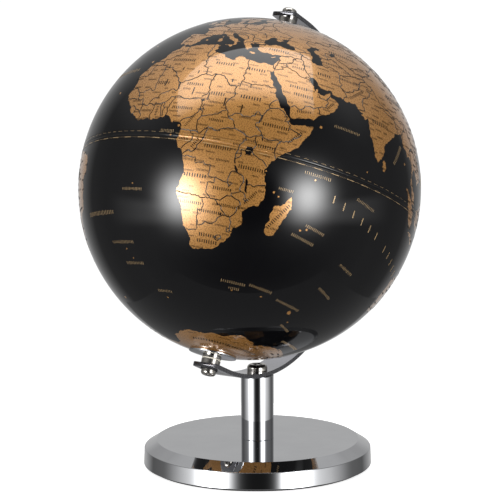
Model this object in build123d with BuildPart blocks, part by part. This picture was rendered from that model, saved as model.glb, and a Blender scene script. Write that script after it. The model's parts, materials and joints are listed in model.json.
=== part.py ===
from build123d import *
import os
from math import asin, cos, degrees, radians, sin, sqrt

# A desktop globe. A hollow globe of two moulded hemispheres spins on two pivot screws
# held in the flat ends of a curved steel arm. One screw clamps the arm to a short tube
# post, and a bolt from beneath clamps the post to a weighted, pressed steel base.
#
# Millimetres. The origin is under the middle of the base pad, on the post's axis.
# +Z is up, and the globe's north pole leans towards +X.

# ---------------------------------------------------------------- driving dimensions

globe_diameter = 140.0
globe_wall = 1.6
axis_tilt = 23.5              # degrees from upright
seam_lip_height = 3.0         # the spigot that locates the two hemispheres
seam_lip_wall = 1.2
seam_lip_run_out = 2.0        # straight stretch of the spigot below the seam

arm_gap = 4.3                 # globe to the arm's inner face, at the poles
arm_width = 11.7
arm_thickness = 1.8
arm_end_flat = 5.7            # straight run from the end of the arc to the pole axis
arm_end_overhang = 4.2        # straight run past the pole axis
arm_corner_radius = 1.3

post_diameter = 13.7
post_wall = 1.5
post_length = 26.9
post_plug_length = 10.0

base_diameter = 95.2          # at the open underside
base_wall_flare = 0.3         # how far the wall leans out, on each side
base_bevel_width = 4.5
base_bevel_drop = 3.3
base_shell_height = 10.1
base_sheet = 1.2              # thickness of the pressed sheet
base_edge_radius = 0.35
base_pad_thickness = 2.0
base_pad_proud = 0.9          # how far the pad stands below the shell's rim

pivot_shank_diameter = 3.0    # M3 pivot screws
pivot_head_diameter = 6.2
pivot_head_height = 2.2
pivot_reach = 5.0             # shank inside the bush, past its flange
pivot_washer_diameter = 7.0
pivot_washer_thickness = 0.5
collar_diameter = 7.8
thrust_washer_diameter = 7.6
thrust_washer_thickness = 0.5

bush_barrel_diameter = 5.2
bush_barrel_length = 7.0
bush_flange_diameter = 7.8
bush_flange_thickness = 0.8
pole_disc_diameter = 19.5
pole_disc_thickness = 0.9
pole_disc_notches = 36
pole_disc_notch_diameter = 0.9

arm_screw_shank_diameter = 4.0    # M4
arm_screw_head_diameter = 8.5
arm_screw_head_height = 2.6
arm_screw_grip = 8.0              # shank inside the top plug
base_bolt_shank_diameter = 5.0    # M5
base_bolt_head_across_flats = 8.0
base_bolt_head_height = 3.5
base_bolt_grip = 8.0              # shank inside the bottom plug
bolt_washer_diameter = 10.0
bolt_washer_thickness = 1.0
spring_washer_diameter = 9.2
spring_washer_thickness = 1.2
spring_washer_split = 0.8

# --------------------------------------------------------------------- fits and gaps

press_gap = 0.02              # radial, between a pressed piece and its seat
thread_gap = 0.02             # radial, between a plain shank and the thread it stands in
hole_gap = 0.15               # radial, round a screw in a plain hole
running_gap = 0.05            # radial, pivot shank in its bush
thrust_gap = 0.1              # axial, below the globe
end_float = 0.3               # axial, above the globe
lip_gap = 0.15                # radial, spigot in the other hemisphere
pocket_gap = 1.0              # radial, round the washer in the weight's pocket
pocket_headroom = 0.2         # the bolt head's depth below the weight's underside
weight_gap = 0.8              # radial, weight inside the edge of the flat top
pad_gap = 0.4                 # radial, pad inside the shell's wall

# -------------------------------------------------------------------- derived sizes

globe_radius = globe_diameter / 2
globe_inner_radius = globe_radius - globe_wall
arm_inner_radius = globe_radius + arm_gap
arm_outer_radius = arm_inner_radius + arm_thickness
post_radius = post_diameter / 2

base_rim_radius = base_diameter / 2
base_bevel_radius = base_rim_radius - base_wall_flare
base_top_radius = base_bevel_radius - base_bevel_width
base_rim_height = base_pad_proud
base_top_height = base_rim_height + base_shell_height
base_bevel_height = base_top_height - base_bevel_drop
weight_top_height = base_top_height - base_sheet
post_top_height = base_top_height + post_length
arm_centre_height = post_top_height + arm_outer_radius

tilt = radians(axis_tilt)
north = Vector(sin(tilt), 0, cos(tilt))          # the pole axis
south = north * -1
arm_side = Vector(cos(tilt), 0, -sin(tilt))      # from the pole axis to the arm's middle
across = Vector(0, -1, 0)
arm_centre = Vector(0, 0, arm_centre_height)
globe_centre = arm_centre - arm_side * arm_end_flat
pole_axis = Axis(globe_centre, north)

bush_hole_radius = bush_barrel_diameter / 2 + press_gap
north_seat = sqrt(globe_radius**2 - bush_hole_radius**2)
disc_inner_radius = globe_radius + press_gap
disc_outer_radius = disc_inner_radius + pole_disc_thickness
south_seat = sqrt(disc_outer_radius**2 - bush_hole_radius**2)
collar_bore_radius = pivot_shank_diameter / 2 + thread_gap
north_collar_start = north_seat + bush_flange_thickness + end_float
thrust_washer_start = south_seat + bush_flange_thickness + thrust_gap
south_collar_start = thrust_washer_start + thrust_washer_thickness

arm_section = Plane(origin=arm_centre, x_dir=arm_side, z_dir=across)
north_section = Plane(origin=globe_centre, x_dir=arm_side, z_dir=across)
south_section = Plane(origin=globe_centre, x_dir=arm_side, z_dir=across * -1)


def pole_plane(outward, distance):
    """The plane square to the pole axis, this far out from the globe's centre."""
    return Plane(origin=globe_centre + outward * distance, x_dir=(0, 1, 0), z_dir=outward)


# ------------------------------------------------------------------ repeated pieces


def flat_ring(plane, outer_diameter, bore_radius, thickness):
    """A washer or a collar that rises from a plane."""
    with BuildPart() as ring:
        with BuildSketch(plane):
            Circle(outer_diameter / 2)
            Circle(bore_radius, mode=Mode.SUBTRACT)
        extrude(amount=thickness)
    return ring.part


def pan_head_screw(seat, shank_diameter, shank_length, head_diameter, head_height):
    """A pan-head screw with a cross recess. Its head rises from the seat plane."""
    recess_depth = head_height * 0.6
    recess_length = head_diameter * 0.56
    recess_width = head_diameter * 0.16
    tip_chamfer = shank_diameter * 0.12
    with BuildPart() as screw:
        with BuildSketch(seat):
            Circle(head_diameter / 2)
        extrude(amount=head_height)
        crown = screw.edges().sort_by(Axis(seat.origin, seat.z_dir))[-1]
        fillet(crown, radius=head_height * 0.62)
        with BuildSketch(seat):
            Circle(shank_diameter / 2)
        extrude(amount=-shank_length)
        tip = screw.edges().sort_by(Axis(seat.origin, seat.z_dir))[0]
        chamfer(tip, length=tip_chamfer)
        with BuildSketch(seat.offset(head_height - recess_depth)):
            Rectangle(recess_length, recess_width)
            Rectangle(recess_width, recess_length)
        extrude(amount=head_height, mode=Mode.SUBTRACT)
    return screw.part


def pole_bush(outward, seat_distance):
    """A flanged bush through the globe's wall. The pivot shank runs in its bore."""
    with BuildPart() as bush:
        with BuildSketch(pole_plane(outward, seat_distance)):
            Circle(bush_flange_diameter / 2)
        extrude(amount=bush_flange_thickness)
        with BuildSketch(pole_plane(outward, seat_distance)):
            Circle(bush_barrel_diameter / 2)
        extrude(amount=-bush_barrel_length)
        with BuildSketch(pole_plane(outward, seat_distance - bush_barrel_length)):
            Circle(pivot_shank_diameter / 2 + running_gap)
        extrude(amount=bush_barrel_length + bush_flange_thickness, mode=Mode.SUBTRACT)
    return bush.part


def save(part, label):
    """Labels a finished piece and writes it."""
    part.label = label
    export_step(part, f"parts/{label}.step")


os.makedirs("parts", exist_ok=True)

# ----------------------------------------------------------------------------- base

# The shell is one pressing: a flat top, a bevel, and a wall that flares a little.
with BuildPart() as base_shell:
    with BuildSketch(Plane.XZ):
        with BuildLine():
            Polyline(
                (0, base_rim_height),
                (base_rim_radius, base_rim_height),
                (base_bevel_radius, base_bevel_height),
                (base_top_radius, base_top_height),
                (0, base_top_height),
                close=True,
            )
        make_face()
    revolve(axis=Axis.Z)
    bevel_edges = base_shell.edges().filter_by(GeomType.CIRCLE).sort_by(SortBy.RADIUS)[:2]
    fillet(bevel_edges, radius=base_edge_radius)
    offset(amount=-base_sheet, openings=base_shell.faces().sort_by(Axis.Z)[0])
    with BuildSketch(Plane.XY.offset(base_top_height)):
        Circle(base_bolt_shank_diameter / 2 + hole_gap)
    extrude(amount=-2 * base_sheet, mode=Mode.SUBTRACT)
save(base_shell.part, "base_shell")

# The weight fills the shell under its flat top, and has a pocket for the bolt's head.
pocket_radius = bolt_washer_diameter / 2 + pocket_gap
pocket_depth = (
    base_bolt_head_height + spring_washer_thickness + bolt_washer_thickness + pocket_headroom
)
washer_height = base_pad_thickness + pocket_depth - bolt_washer_thickness
spring_washer_height = washer_height - spring_washer_thickness
with BuildPart() as base_weight:
    with BuildSketch(Plane.XY.offset(base_pad_thickness)):
        Circle(base_top_radius - weight_gap)
    extrude(amount=weight_top_height - base_pad_thickness)
    with BuildSketch(Plane.XY.offset(base_pad_thickness)):
        Circle(pocket_radius)
    extrude(amount=pocket_depth, mode=Mode.SUBTRACT)
    with BuildSketch(Plane.XY.offset(weight_top_height)):
        Circle(base_bolt_shank_diameter / 2 + hole_gap)
    extrude(amount=base_pad_thickness - weight_top_height, mode=Mode.SUBTRACT)
save(base_weight.part, "base_weight")

# The pad closes the underside and is what the globe stands on.
with BuildPart() as base_pad:
    with BuildSketch(Plane.XY):
        Circle(base_bevel_radius - base_sheet - pad_gap)
    extrude(amount=base_pad_thickness)
save(base_pad.part, "base_pad")

# The bolt comes up from beneath, through its washers, the weight and the shell.
with BuildPart() as base_bolt:
    with BuildSketch(Plane.XY.offset(spring_washer_height)):
        RegularPolygon(base_bolt_head_across_flats / 2, 6, major_radius=False)
    extrude(amount=-base_bolt_head_height)
    with BuildSketch(Plane.XY.offset(spring_washer_height)):
        Circle(base_bolt_shank_diameter / 2)
    extrude(amount=base_top_height + base_bolt_grip - spring_washer_height)
save(base_bolt.part, "base_bolt")

with BuildPart() as base_bolt_spring_washer:
    with BuildSketch(Plane.XY.offset(spring_washer_height)):
        Circle(spring_washer_diameter / 2)
        Circle(base_bolt_shank_diameter / 2 + hole_gap, mode=Mode.SUBTRACT)
        with Locations((spring_washer_diameter / 4, 0)):
            Rectangle(spring_washer_diameter / 2, spring_washer_split, mode=Mode.SUBTRACT)
    extrude(amount=spring_washer_thickness)
save(base_bolt_spring_washer.part, "base_bolt_spring_washer")

base_bolt_washer = flat_ring(
    Plane.XY.offset(washer_height),
    bolt_washer_diameter,
    base_bolt_shank_diameter / 2 + hole_gap,
    bolt_washer_thickness,
)
save(base_bolt_washer, "base_bolt_washer")

# ----------------------------------------------------------------------------- post

plug_diameter = post_diameter - 2 * (post_wall + press_gap)

post_tube = flat_ring(
    Plane.XY.offset(base_top_height), post_diameter, post_radius - post_wall, post_length
)
save(post_tube, "post_tube")

post_bottom_plug = flat_ring(
    Plane.XY.offset(base_top_height),
    plug_diameter,
    base_bolt_shank_diameter / 2 + thread_gap,
    post_plug_length,
)
save(post_bottom_plug, "post_bottom_plug")

post_top_plug = flat_ring(
    Plane.XY.offset(post_top_height - post_plug_length),
    plug_diameter,
    arm_screw_shank_diameter / 2 + thread_gap,
    post_plug_length,
)
save(post_top_plug, "post_top_plug")

# ------------------------------------------------------------------------------ arm

# A bent strip: half a circle, then a straight end on each side that carries a pivot.
arm_end = arm_end_flat + arm_end_overhang
with BuildPart() as meridian_arm:
    with BuildSketch(arm_section):
        with BuildLine():
            CenterArc((0, 0), arm_outer_radius, -90, 180)
            Polyline(
                (0, arm_outer_radius),
                (-arm_end, arm_outer_radius),
                (-arm_end, arm_inner_radius),
                (0, arm_inner_radius),
            )
            CenterArc((0, 0), arm_inner_radius, -90, 180)
            Polyline(
                (0, -arm_inner_radius),
                (-arm_end, -arm_inner_radius),
                (-arm_end, -arm_outer_radius),
                (0, -arm_outer_radius),
            )
        make_face()
    extrude(amount=arm_width / 2, both=True)
    fillet(meridian_arm.edges().filter_by(pole_axis), radius=arm_corner_radius)
    with BuildSketch(pole_plane(north, 0)):
        Circle(pivot_shank_diameter / 2 + hole_gap)
    extrude(amount=arm_outer_radius + arm_thickness, both=True, mode=Mode.SUBTRACT)
    with BuildSketch(Plane.XY.offset(post_top_height - arm_thickness)):
        Circle(arm_screw_shank_diameter / 2 + hole_gap)
    extrude(amount=3 * arm_thickness, mode=Mode.SUBTRACT)
save(meridian_arm.part, "meridian_arm")

# The head bridges the arm's hollow face, so its seat is above the face's lowest line.
arm_screw_seat = arm_centre_height - sqrt(
    arm_inner_radius**2 - (arm_screw_head_diameter / 2) ** 2
)
arm_screw = pan_head_screw(
    Plane.XY.offset(arm_screw_seat),
    arm_screw_shank_diameter,
    arm_screw_seat - post_top_height + arm_screw_grip,
    arm_screw_head_diameter,
    arm_screw_head_height,
)
save(arm_screw, "arm_screw")

# ------------------------------------------------------------------- pivots at poles

pivot_seat = arm_outer_radius + pivot_washer_thickness
for name, outward, bush_seat, collar_start in (
    ("north", north, north_seat, north_collar_start),
    ("south", south, south_seat, south_collar_start),
):
    screw = pan_head_screw(
        pole_plane(outward, pivot_seat),
        pivot_shank_diameter,
        pivot_seat - bush_seat + pivot_reach,
        pivot_head_diameter,
        pivot_head_height,
    )
    save(screw, f"{name}_pivot_screw")
    screw_washer = flat_ring(
        pole_plane(outward, arm_outer_radius),
        pivot_washer_diameter,
        pivot_shank_diameter / 2 + hole_gap,
        pivot_washer_thickness,
    )
    save(screw_washer, f"{name}_screw_washer")
    collar = flat_ring(
        pole_plane(outward, collar_start),
        collar_diameter,
        collar_bore_radius,
        arm_inner_radius - collar_start,
    )
    save(collar, f"{name}_collar")
    save(pole_bush(outward, bush_seat), f"{name}_pole_bush")

south_thrust_washer = flat_ring(
    pole_plane(south, thrust_washer_start),
    thrust_washer_diameter,
    pivot_shank_diameter / 2 + hole_gap,
    thrust_washer_thickness,
)
save(south_thrust_washer, "south_thrust_washer")

# ---------------------------------------------------------------------------- globe

hole_angle = degrees(asin(bush_hole_radius / globe_radius))
inner_hole_angle = degrees(asin(bush_hole_radius / globe_inner_radius))

with BuildPart() as north_hemisphere:
    with BuildSketch(north_section):
        with BuildLine():
            outer_arc = CenterArc((0, 0), globe_radius, 0, 90 - hole_angle)
            inner_arc = CenterArc((0, 0), globe_inner_radius, 0, 90 - inner_hole_angle)
            Line(outer_arc @ 1, inner_arc @ 1)
            Line(outer_arc @ 0, inner_arc @ 0)
        make_face()
    revolve(axis=pole_axis)
save(north_hemisphere.part, "north_hemisphere")

# The southern half carries the spigot. Its section is drawn with +Y towards the pole.
lip_outer_radius = globe_inner_radius - lip_gap
lip_inner_radius = lip_outer_radius - seam_lip_wall
lip_blend_depth = seam_lip_run_out + seam_lip_height
lip_blend_angle = degrees(asin(lip_blend_depth / globe_inner_radius))
with BuildPart() as south_hemisphere:
    with BuildSketch(south_section):
        with BuildLine():
            outer_arc = CenterArc((0, 0), globe_radius, 0, 90 - hole_angle)
            inner_arc = CenterArc(
                (0, 0), globe_inner_radius, lip_blend_angle, 90 - inner_hole_angle - lip_blend_angle
            )
            Line(outer_arc @ 1, inner_arc @ 1)
            Polyline(
                outer_arc @ 0,
                (lip_outer_radius, 0),
                (lip_outer_radius, -seam_lip_height),
                (lip_inner_radius, -seam_lip_height),
                (lip_inner_radius, seam_lip_run_out),
                inner_arc @ 0,
            )
        make_face()
    revolve(axis=pole_axis)
save(south_hemisphere.part, "south_hemisphere")

# A dished disc with a notched edge sits between the southern half and its bush.
disc_rim_angle = degrees(asin(pole_disc_diameter / 2 / disc_outer_radius))
disc_bore_outer_angle = degrees(asin(bush_hole_radius / disc_outer_radius))
disc_bore_inner_angle = degrees(asin(bush_hole_radius / disc_inner_radius))
with BuildPart() as south_pole_disc:
    with BuildSketch(south_section):
        with BuildLine():
            outer_arc = CenterArc(
                (0, 0), disc_outer_radius, 90 - disc_rim_angle, disc_rim_angle - disc_bore_outer_angle
            )
            inner_arc = CenterArc(
                (0, 0), disc_inner_radius, 90 - disc_rim_angle, disc_rim_angle - disc_bore_inner_angle
            )
            Line(outer_arc @ 0, inner_arc @ 0)
            Line(outer_arc @ 1, inner_arc @ 1)
        make_face()
    revolve(axis=pole_axis)
    with BuildSketch(pole_plane(south, globe_radius - 2 * pole_disc_thickness)):
        with PolarLocations(pole_disc_diameter / 2, pole_disc_notches):
            Circle(pole_disc_notch_diameter / 2)
    extrude(amount=4 * pole_disc_thickness, mode=Mode.SUBTRACT)
save(south_pole_disc.part, "south_pole_disc")
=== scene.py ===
"""Looks for the desktop globe on its stand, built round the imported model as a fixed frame.

The stand is chromed steel with a bent strip arm, and the globe is two lacquered hemispheres
that carry a printed map. Every length is in metres unless its name ends in _mm.
"""

import json
import logging
import math
import random
from dataclasses import dataclass, field
from enum import Enum
from typing import Any, Iterable, Sequence

import bpy
import numpy as np
from mathutils import Matrix, Vector
from mathutils.geometry import delaunay_2d_cdt


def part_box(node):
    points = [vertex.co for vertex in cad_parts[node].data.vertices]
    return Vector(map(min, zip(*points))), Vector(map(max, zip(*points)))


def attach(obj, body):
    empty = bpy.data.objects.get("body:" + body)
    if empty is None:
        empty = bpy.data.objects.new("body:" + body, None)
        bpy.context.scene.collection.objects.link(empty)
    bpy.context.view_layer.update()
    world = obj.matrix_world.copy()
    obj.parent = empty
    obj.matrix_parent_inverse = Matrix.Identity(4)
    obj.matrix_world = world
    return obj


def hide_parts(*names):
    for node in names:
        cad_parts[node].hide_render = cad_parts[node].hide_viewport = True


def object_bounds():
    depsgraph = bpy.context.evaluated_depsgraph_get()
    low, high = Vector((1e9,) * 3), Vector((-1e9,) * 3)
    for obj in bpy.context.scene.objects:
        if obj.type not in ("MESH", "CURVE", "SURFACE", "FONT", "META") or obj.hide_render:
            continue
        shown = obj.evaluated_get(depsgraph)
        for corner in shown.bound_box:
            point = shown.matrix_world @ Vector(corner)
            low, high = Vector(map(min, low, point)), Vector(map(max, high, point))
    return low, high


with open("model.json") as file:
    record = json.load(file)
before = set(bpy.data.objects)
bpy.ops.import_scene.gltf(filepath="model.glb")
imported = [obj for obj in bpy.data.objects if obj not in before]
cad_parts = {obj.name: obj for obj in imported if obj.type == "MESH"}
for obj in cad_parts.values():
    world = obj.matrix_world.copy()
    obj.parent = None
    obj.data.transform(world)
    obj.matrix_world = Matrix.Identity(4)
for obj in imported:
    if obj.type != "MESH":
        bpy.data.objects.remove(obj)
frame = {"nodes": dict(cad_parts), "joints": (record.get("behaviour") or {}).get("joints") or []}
cad_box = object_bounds()

LOG = logging.getLogger("desk_globe")
MM = 0.001

Pair = tuple[float, float]
Mark = tuple[float, float, float, float, float]


# ---------------------------------------------------------------- shader and node helpers


def linear(hex_code: str) -> tuple[float, float, float, float]:
    """Turns an sRGB hex colour into linear light.

    Args:
        hex_code: six hex digits, red first.

    Returns:
        Red, green, blue and an alpha of one.
    """
    parts = [int(hex_code[i:i + 2], 16) / 255 for i in (0, 2, 4)]
    light = [p / 12.92 if p <= 0.04045 else ((p + 0.055) / 1.055) ** 2.4 for p in parts]
    return (light[0], light[1], light[2], 1.0)


def add_node(
    tree: bpy.types.NodeTree,
    kind: str,
    settings: dict[str, Any] | None = None,
    sockets: dict[str | int, Any] | None = None,
) -> bpy.types.Node:
    """Adds one node, sets its properties, and sets or links its inputs.

    Args:
        tree: the tree that gets the node.
        kind: the node's type name.
        settings: the node's own properties.
        sockets: values or output sockets for its inputs, by name or by place.

    Returns:
        The new node.
    """
    node = tree.nodes.new(kind)
    for name, value in (settings or {}).items():
        setattr(node, name, value)
    for name, value in (sockets or {}).items():
        if isinstance(value, bpy.types.NodeSocket):
            tree.links.new(value, node.inputs[name])
        else:
            node.inputs[name].default_value = value
    return node


@dataclass(frozen=True)
class Finish:
    """One surface finish: what the material is, and how its fine pattern varies it."""

    name: str
    colour: str
    shade: str
    metallic: float = 0.0
    roughness: Pair = (0.3, 0.4)
    pattern_mm: float = 2.0
    stretch: tuple[float, float, float] = (1.0, 1.0, 1.0)
    bump: float = 0.0
    bump_depth_mm: float = 0.01
    ior: float = 1.5
    coat: float = 0.0
    coat_roughness: float = 0.03

    def material(self) -> bpy.types.Material:
        """Gives the finish's material, which is built the first time it is asked for."""
        found = bpy.data.materials.get(self.name)
        return found or self._build()

    def _build(self) -> bpy.types.Material:
        """Builds the node tree: one stretched noise drives colour, roughness and bump.

        Returns:
            The new material.
        """
        made = bpy.data.materials.new(self.name)
        made.use_nodes = True
        tree = made.node_tree
        tree.nodes.clear()
        place = add_node(tree, "ShaderNodeTexCoord")
        scaled = add_node(
            tree, "ShaderNodeMapping", None,
            {"Vector": place.outputs["Object"], "Scale": self.stretch},
        )
        per_metre = 1.0 / (self.pattern_mm * MM)
        grain = add_node(
            tree, "ShaderNodeTexNoise", None,
            {"Vector": scaled.outputs["Vector"], "Scale": per_metre, "Detail": 4.0},
        )
        tint = add_node(
            tree, "ShaderNodeMix", {"data_type": "RGBA"},
            {0: grain.outputs["Fac"], 6: linear(self.shade), 7: linear(self.colour)},
        )
        gloss = add_node(
            tree, "ShaderNodeMapRange", None,
            {"Value": grain.outputs["Fac"], "From Min": 0.3, "From Max": 0.7,
             "To Min": self.roughness[0], "To Max": self.roughness[1]},
        )
        sockets: dict[str | int, Any] = {
            "Base Color": tint.outputs[2],
            "Metallic": self.metallic,
            "Roughness": gloss.outputs["Result"],
            "IOR": self.ior,
            "Coat Weight": self.coat,
            "Coat Roughness": self.coat_roughness,
        }
        if self.bump:
            relief = add_node(
                tree, "ShaderNodeBump", None,
                {"Height": grain.outputs["Fac"], "Strength": self.bump,
                 "Distance": self.bump_depth_mm * MM},
            )
            sockets["Normal"] = relief.outputs["Normal"]
        surface = add_node(tree, "ShaderNodeBsdfPrincipled", None, sockets)
        add_node(
            tree, "ShaderNodeOutputMaterial", None, {"Surface": surface.outputs["BSDF"]}
        )
        return made


class Wear(Enum):
    """The finishes on this object, each named for the real material and its process."""

    # Bright decorative chrome over nickel on pressed steel: a clean mirror, faint polish haze.
    CHROME = Finish("bright_chrome_plate", "d9dadc", "c9cacd", 1.0, (0.02, 0.05), 14.0)
    # Stainless strip polished along its length: a mirror drawn out a little into streaks.
    STRIP_FACE = Finish(
        "polished_stainless_strip", "c6c6cb", "b4b4ba", 1.0, (0.07, 0.16), 1.2,
        (1.0, 0.08, 1.0), 0.05, 0.02,
    )
    # The strip's sheared edge, linished: dull, with scratches across the thickness.
    STRIP_EDGE = Finish(
        "linished_stainless_edge", "b4b4b9", "8c8c91", 1.0, (0.2, 0.34), 0.5,
        (1.0, 4.0, 1.0), 0.35, 0.03,
    )
    # Bright nickel plate on screws and collars: a slightly warm mirror with soft dimples.
    NICKEL = Finish(
        "bright_nickel_plate", "d3cfc8", "b9b5ae", 1.0, (0.07, 0.18), 0.8, (1, 1, 1), 0.12, 0.02
    )
    # Zinc plate, clear passivated: satin grey with a bluish cast.
    ZINC = Finish("clear_zinc_plate", "a9acb3", "8b8f97", 1.0, (0.3, 0.45), 1.0, (1, 1, 1), 0.1)
    # Vulcanised fibre washer: matt black, faintly fibrous.
    FIBRE = Finish("vulcanised_fibre", "17171a", "0e0e10", 0.0, (0.5, 0.7), 0.4, (1, 1, 4), 0.3)
    # Grey cast iron as cast: dark, coarse skin.
    CAST_IRON = Finish("grey_cast_iron", "3a3a3d", "222224", 0.7, (0.55, 0.8), 1.2, (1, 1, 1), 0.6, 0.15)
    # EVA foam sheet: black, matt, fine closed cells.
    FOAM = Finish("eva_foam_sheet", "121214", "0a0a0b", 0.0, (0.8, 0.95), 0.5, (1, 1, 1), 0.5, 0.08)
    # Natural nylon: cream, waxy.
    NYLON = Finish("natural_nylon", "ded9cb", "cfc8b8", 0.0, (0.35, 0.45), 1.0, (1, 1, 1), 0.1)
    # Black ABS sprayed with gloss lacquer: near-black and mirror-smooth, faint orange peel.
    OCEAN = Finish(
        "gloss_black_lacquer", "0b0b0d", "08080a", 0.0, (0.03, 0.05), 2.5, (1, 1, 1), 0.02, 0.01
    )
    # Bronze-gold pigment ink under the same lacquer: satin flakes below a clear gloss.
    LAND = Finish(
        "gold_ink_under_lacquer", "b68347", "ad7a3c", 0.5, (0.24, 0.32), 0.45, (1, 1, 1), 0.1,
        0.01, 1.5, 1.0,
    )
    # Near-black brown overprint under the same gloss: borders and country marks.
    BROWN_INK = Finish(
        "dark_brown_ink", "140c06", "0e0804", 0.0, (0.04, 0.06), 0.5, (1, 1, 1), 0.02, 0.01
    )
    # Pale gold print on the oceans and the equator's scale.
    GILT_INK = Finish(
        "pale_gold_ink", "b89c72", "9f8259", 0.4, (0.35, 0.45), 0.5, (1, 1, 1), 0.05, 0.01, 1.5, 1.0
    )
    # Injection-moulded black ABS: the hemispheres' inner wall and seam lip.
    ABS = Finish("moulded_black_abs", "141416", "0f0f11", 0.0, (0.35, 0.5), 0.8, (1, 1, 1), 0.2)


# ---------------------------------------------------------------- mesh helpers


def rounded(corners: Sequence[tuple[float, float, float]], steps: int = 6) -> np.ndarray:
    """Rounds the corners of a run of straight lines.

    Args:
        corners: (across, along, corner radius) of each corner, in millimetres. The solid
            lies on the left of the direction of travel.
        steps: how many pieces a rounded corner has.

    Returns:
        One row per point: across, along, and the outward unit normal there, in millimetres.
    """
    rows: list[list[float]] = []
    last = len(corners) - 1
    for i, (x, y, radius) in enumerate(corners):
        here = np.array([x, y])
        ahead = np.array(corners[min(i + 1, last)][:2]) - here
        behind = here - np.array(corners[max(i - 1, 0)][:2])
        run_out = ahead / max(np.linalg.norm(ahead), 1e-9)
        run_in = behind / max(np.linalg.norm(behind), 1e-9)
        if i in (0, last) or radius <= 0:
            run = run_out if i == 0 else run_in
            rows.append([x, y, run[1], -run[0]])
            continue
        turn = math.atan2(run_in[0] * run_out[1] - run_in[1] * run_out[0], run_in @ run_out)
        side = 1.0 if turn > 0 else -1.0
        start = here - run_in * radius * math.tan(abs(turn) / 2)
        centre = start + np.array([-run_in[1], run_in[0]]) * radius * side
        arm = start - centre
        for k in range(steps + 1):
            angle = turn * k / steps
            spin = np.array(
                [[math.cos(angle), -math.sin(angle)], [math.sin(angle), math.cos(angle)]]
            )
            out = spin @ arm
            normal = out / radius * side
            rows.append([*(centre + out), *normal])
    return np.array(rows)


def piece_from(
    name: str,
    points: np.ndarray,
    normals: np.ndarray | None,
    faces: Sequence[Sequence[int]],
    finishes: Sequence[Wear],
    face_finish: Sequence[int] | None = None,
) -> bpy.types.Object:
    """Makes a smooth piece whose place is in its mesh.

    Args:
        name: the piece's name.
        points: its corners, in metres, in the row frame.
        normals: the surface direction at each corner, or None for plain smoothing.
        faces: corner numbers of each face, anticlockwise from outside.
        finishes: its finishes, in slot order.
        face_finish: the slot of each face, or None where there is one.

    Returns:
        The new object, linked to the scene.
    """
    mesh = bpy.data.meshes.new(name)
    mesh.from_pydata(points.tolist(), [], [list(f) for f in faces])
    mesh.polygons.foreach_set("use_smooth", [True] * len(mesh.polygons))
    for finish in finishes:
        mesh.materials.append(finish.value.material())
    if face_finish is not None:
        mesh.polygons.foreach_set("material_index", list(face_finish))
    mesh.update()
    if normals is not None:
        starts = normals[[f[0] for f in faces]]
        facing = np.array([p.normal for p in mesh.polygons])
        if (starts * facing).sum() < 0:
            mesh.flip_normals()
        mesh.normals_split_custom_set_from_vertices(normals.tolist())
    made = bpy.data.objects.new(name, mesh)
    bpy.context.scene.collection.objects.link(made)
    return made


@dataclass
class Axle:
    """A line that round pieces are turned about: its start, and two directions across it."""

    origin: Vector
    along: Vector
    across: Vector

    def place(self, radius: float, height: float, turn: float) -> Vector:
        """Gives the point at that radius, height and turn, in the axle's own units."""
        side = self.across * math.cos(turn) + self.along.cross(self.across) * math.sin(turn)
        return side * radius + self.along * height


@dataclass
class Turned:
    """A round piece: a rounded outline turned about an axle."""

    axle: Axle
    outline: np.ndarray
    closed: bool = False
    segments: int = 128
    scallops: int = 0
    scallop_mm: float = 0.0
    scallop_from_mm: float = 1e9

    def build(self, name: str, finish: Wear) -> bpy.types.Object:
        """Turns the outline into a closed mesh.

        Args:
            name: the piece's name.
            finish: its finish.

        Returns:
            The new object.
        """
        points: list[Vector] = []
        normals: list[Vector] = []
        rings: list[list[int]] = []
        for across, along, out, up in self.outline:
            pole = across < 1e-6
            ring = []
            for k in range(1 if pole else self.segments):
                turn = 2 * math.pi * k / self.segments
                reach = across
                if self.scallops and across >= self.scallop_from_mm:
                    dip = 0.5 + 0.5 * math.cos(turn * self.scallops)
                    reach -= self.scallop_mm * dip ** 4
                local = self.axle.place(reach * MM, along * MM, turn)
                ring.append(len(points))
                points.append(self.axle.origin + local)
                normals.append(self.axle.place(0.0 if pole else out, up, turn).normalized())
            rings.append(ring)
        pairs = list(zip(rings, rings[1:]))
        if self.closed:
            pairs.append((rings[-1], rings[0]))
        faces: list[list[int]] = []
        for low, high in pairs:
            for k in range(self.segments):
                j = (k + 1) % self.segments
                if len(low) == 1:
                    faces.append([low[0], high[j], high[k]])
                elif len(high) == 1:
                    faces.append([low[k], low[j], high[0]])
                else:
                    faces.append([low[k], low[j], high[j], high[k]])
        return piece_from(name, np.array(points), np.array(normals), faces, [finish])


def closed_outline(corners: Sequence[tuple[float, float, float]], steps: int = 5) -> np.ndarray:
    """Rounds the corners of a closed outline.

    Args:
        corners: (across, along, corner radius) of each corner, in millimetres.
        steps: how many pieces a rounded corner has.

    Returns:
        Rows as rounded() gives them, once round.
    """
    first = corners[0]
    second = corners[1]
    middle = ((first[0] + second[0]) / 2, (first[1] + second[1]) / 2, 0.0)
    return rounded([middle, *corners[1:], first, middle], steps)[:-1]


def settle(piece: bpy.types.Object, body: str, slot: str, *nodes: str) -> bpy.types.Object:
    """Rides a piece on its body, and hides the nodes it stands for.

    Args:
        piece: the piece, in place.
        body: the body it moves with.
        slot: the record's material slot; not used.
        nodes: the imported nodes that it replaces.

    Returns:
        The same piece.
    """
    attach(piece, body)
    if nodes:
        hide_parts(*nodes)
    LOG.info("%s: %d faces, rides on %s", piece.name, len(piece.data.polygons), body)
    return piece


def repaint(nodes: Iterable[str], finish: Wear) -> None:
    """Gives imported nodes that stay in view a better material.

    Args:
        nodes: the nodes' names.
        finish: the finish they share.
    """
    for node in nodes:
        mesh = frame["nodes"][node].data
        mesh.materials.clear()
        mesh.materials.append(finish.value.material())
        LOG.info("%s keeps its packed shape, finish %s", node, finish.value.name)


# ---------------------------------------------------------------- the stand


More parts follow.
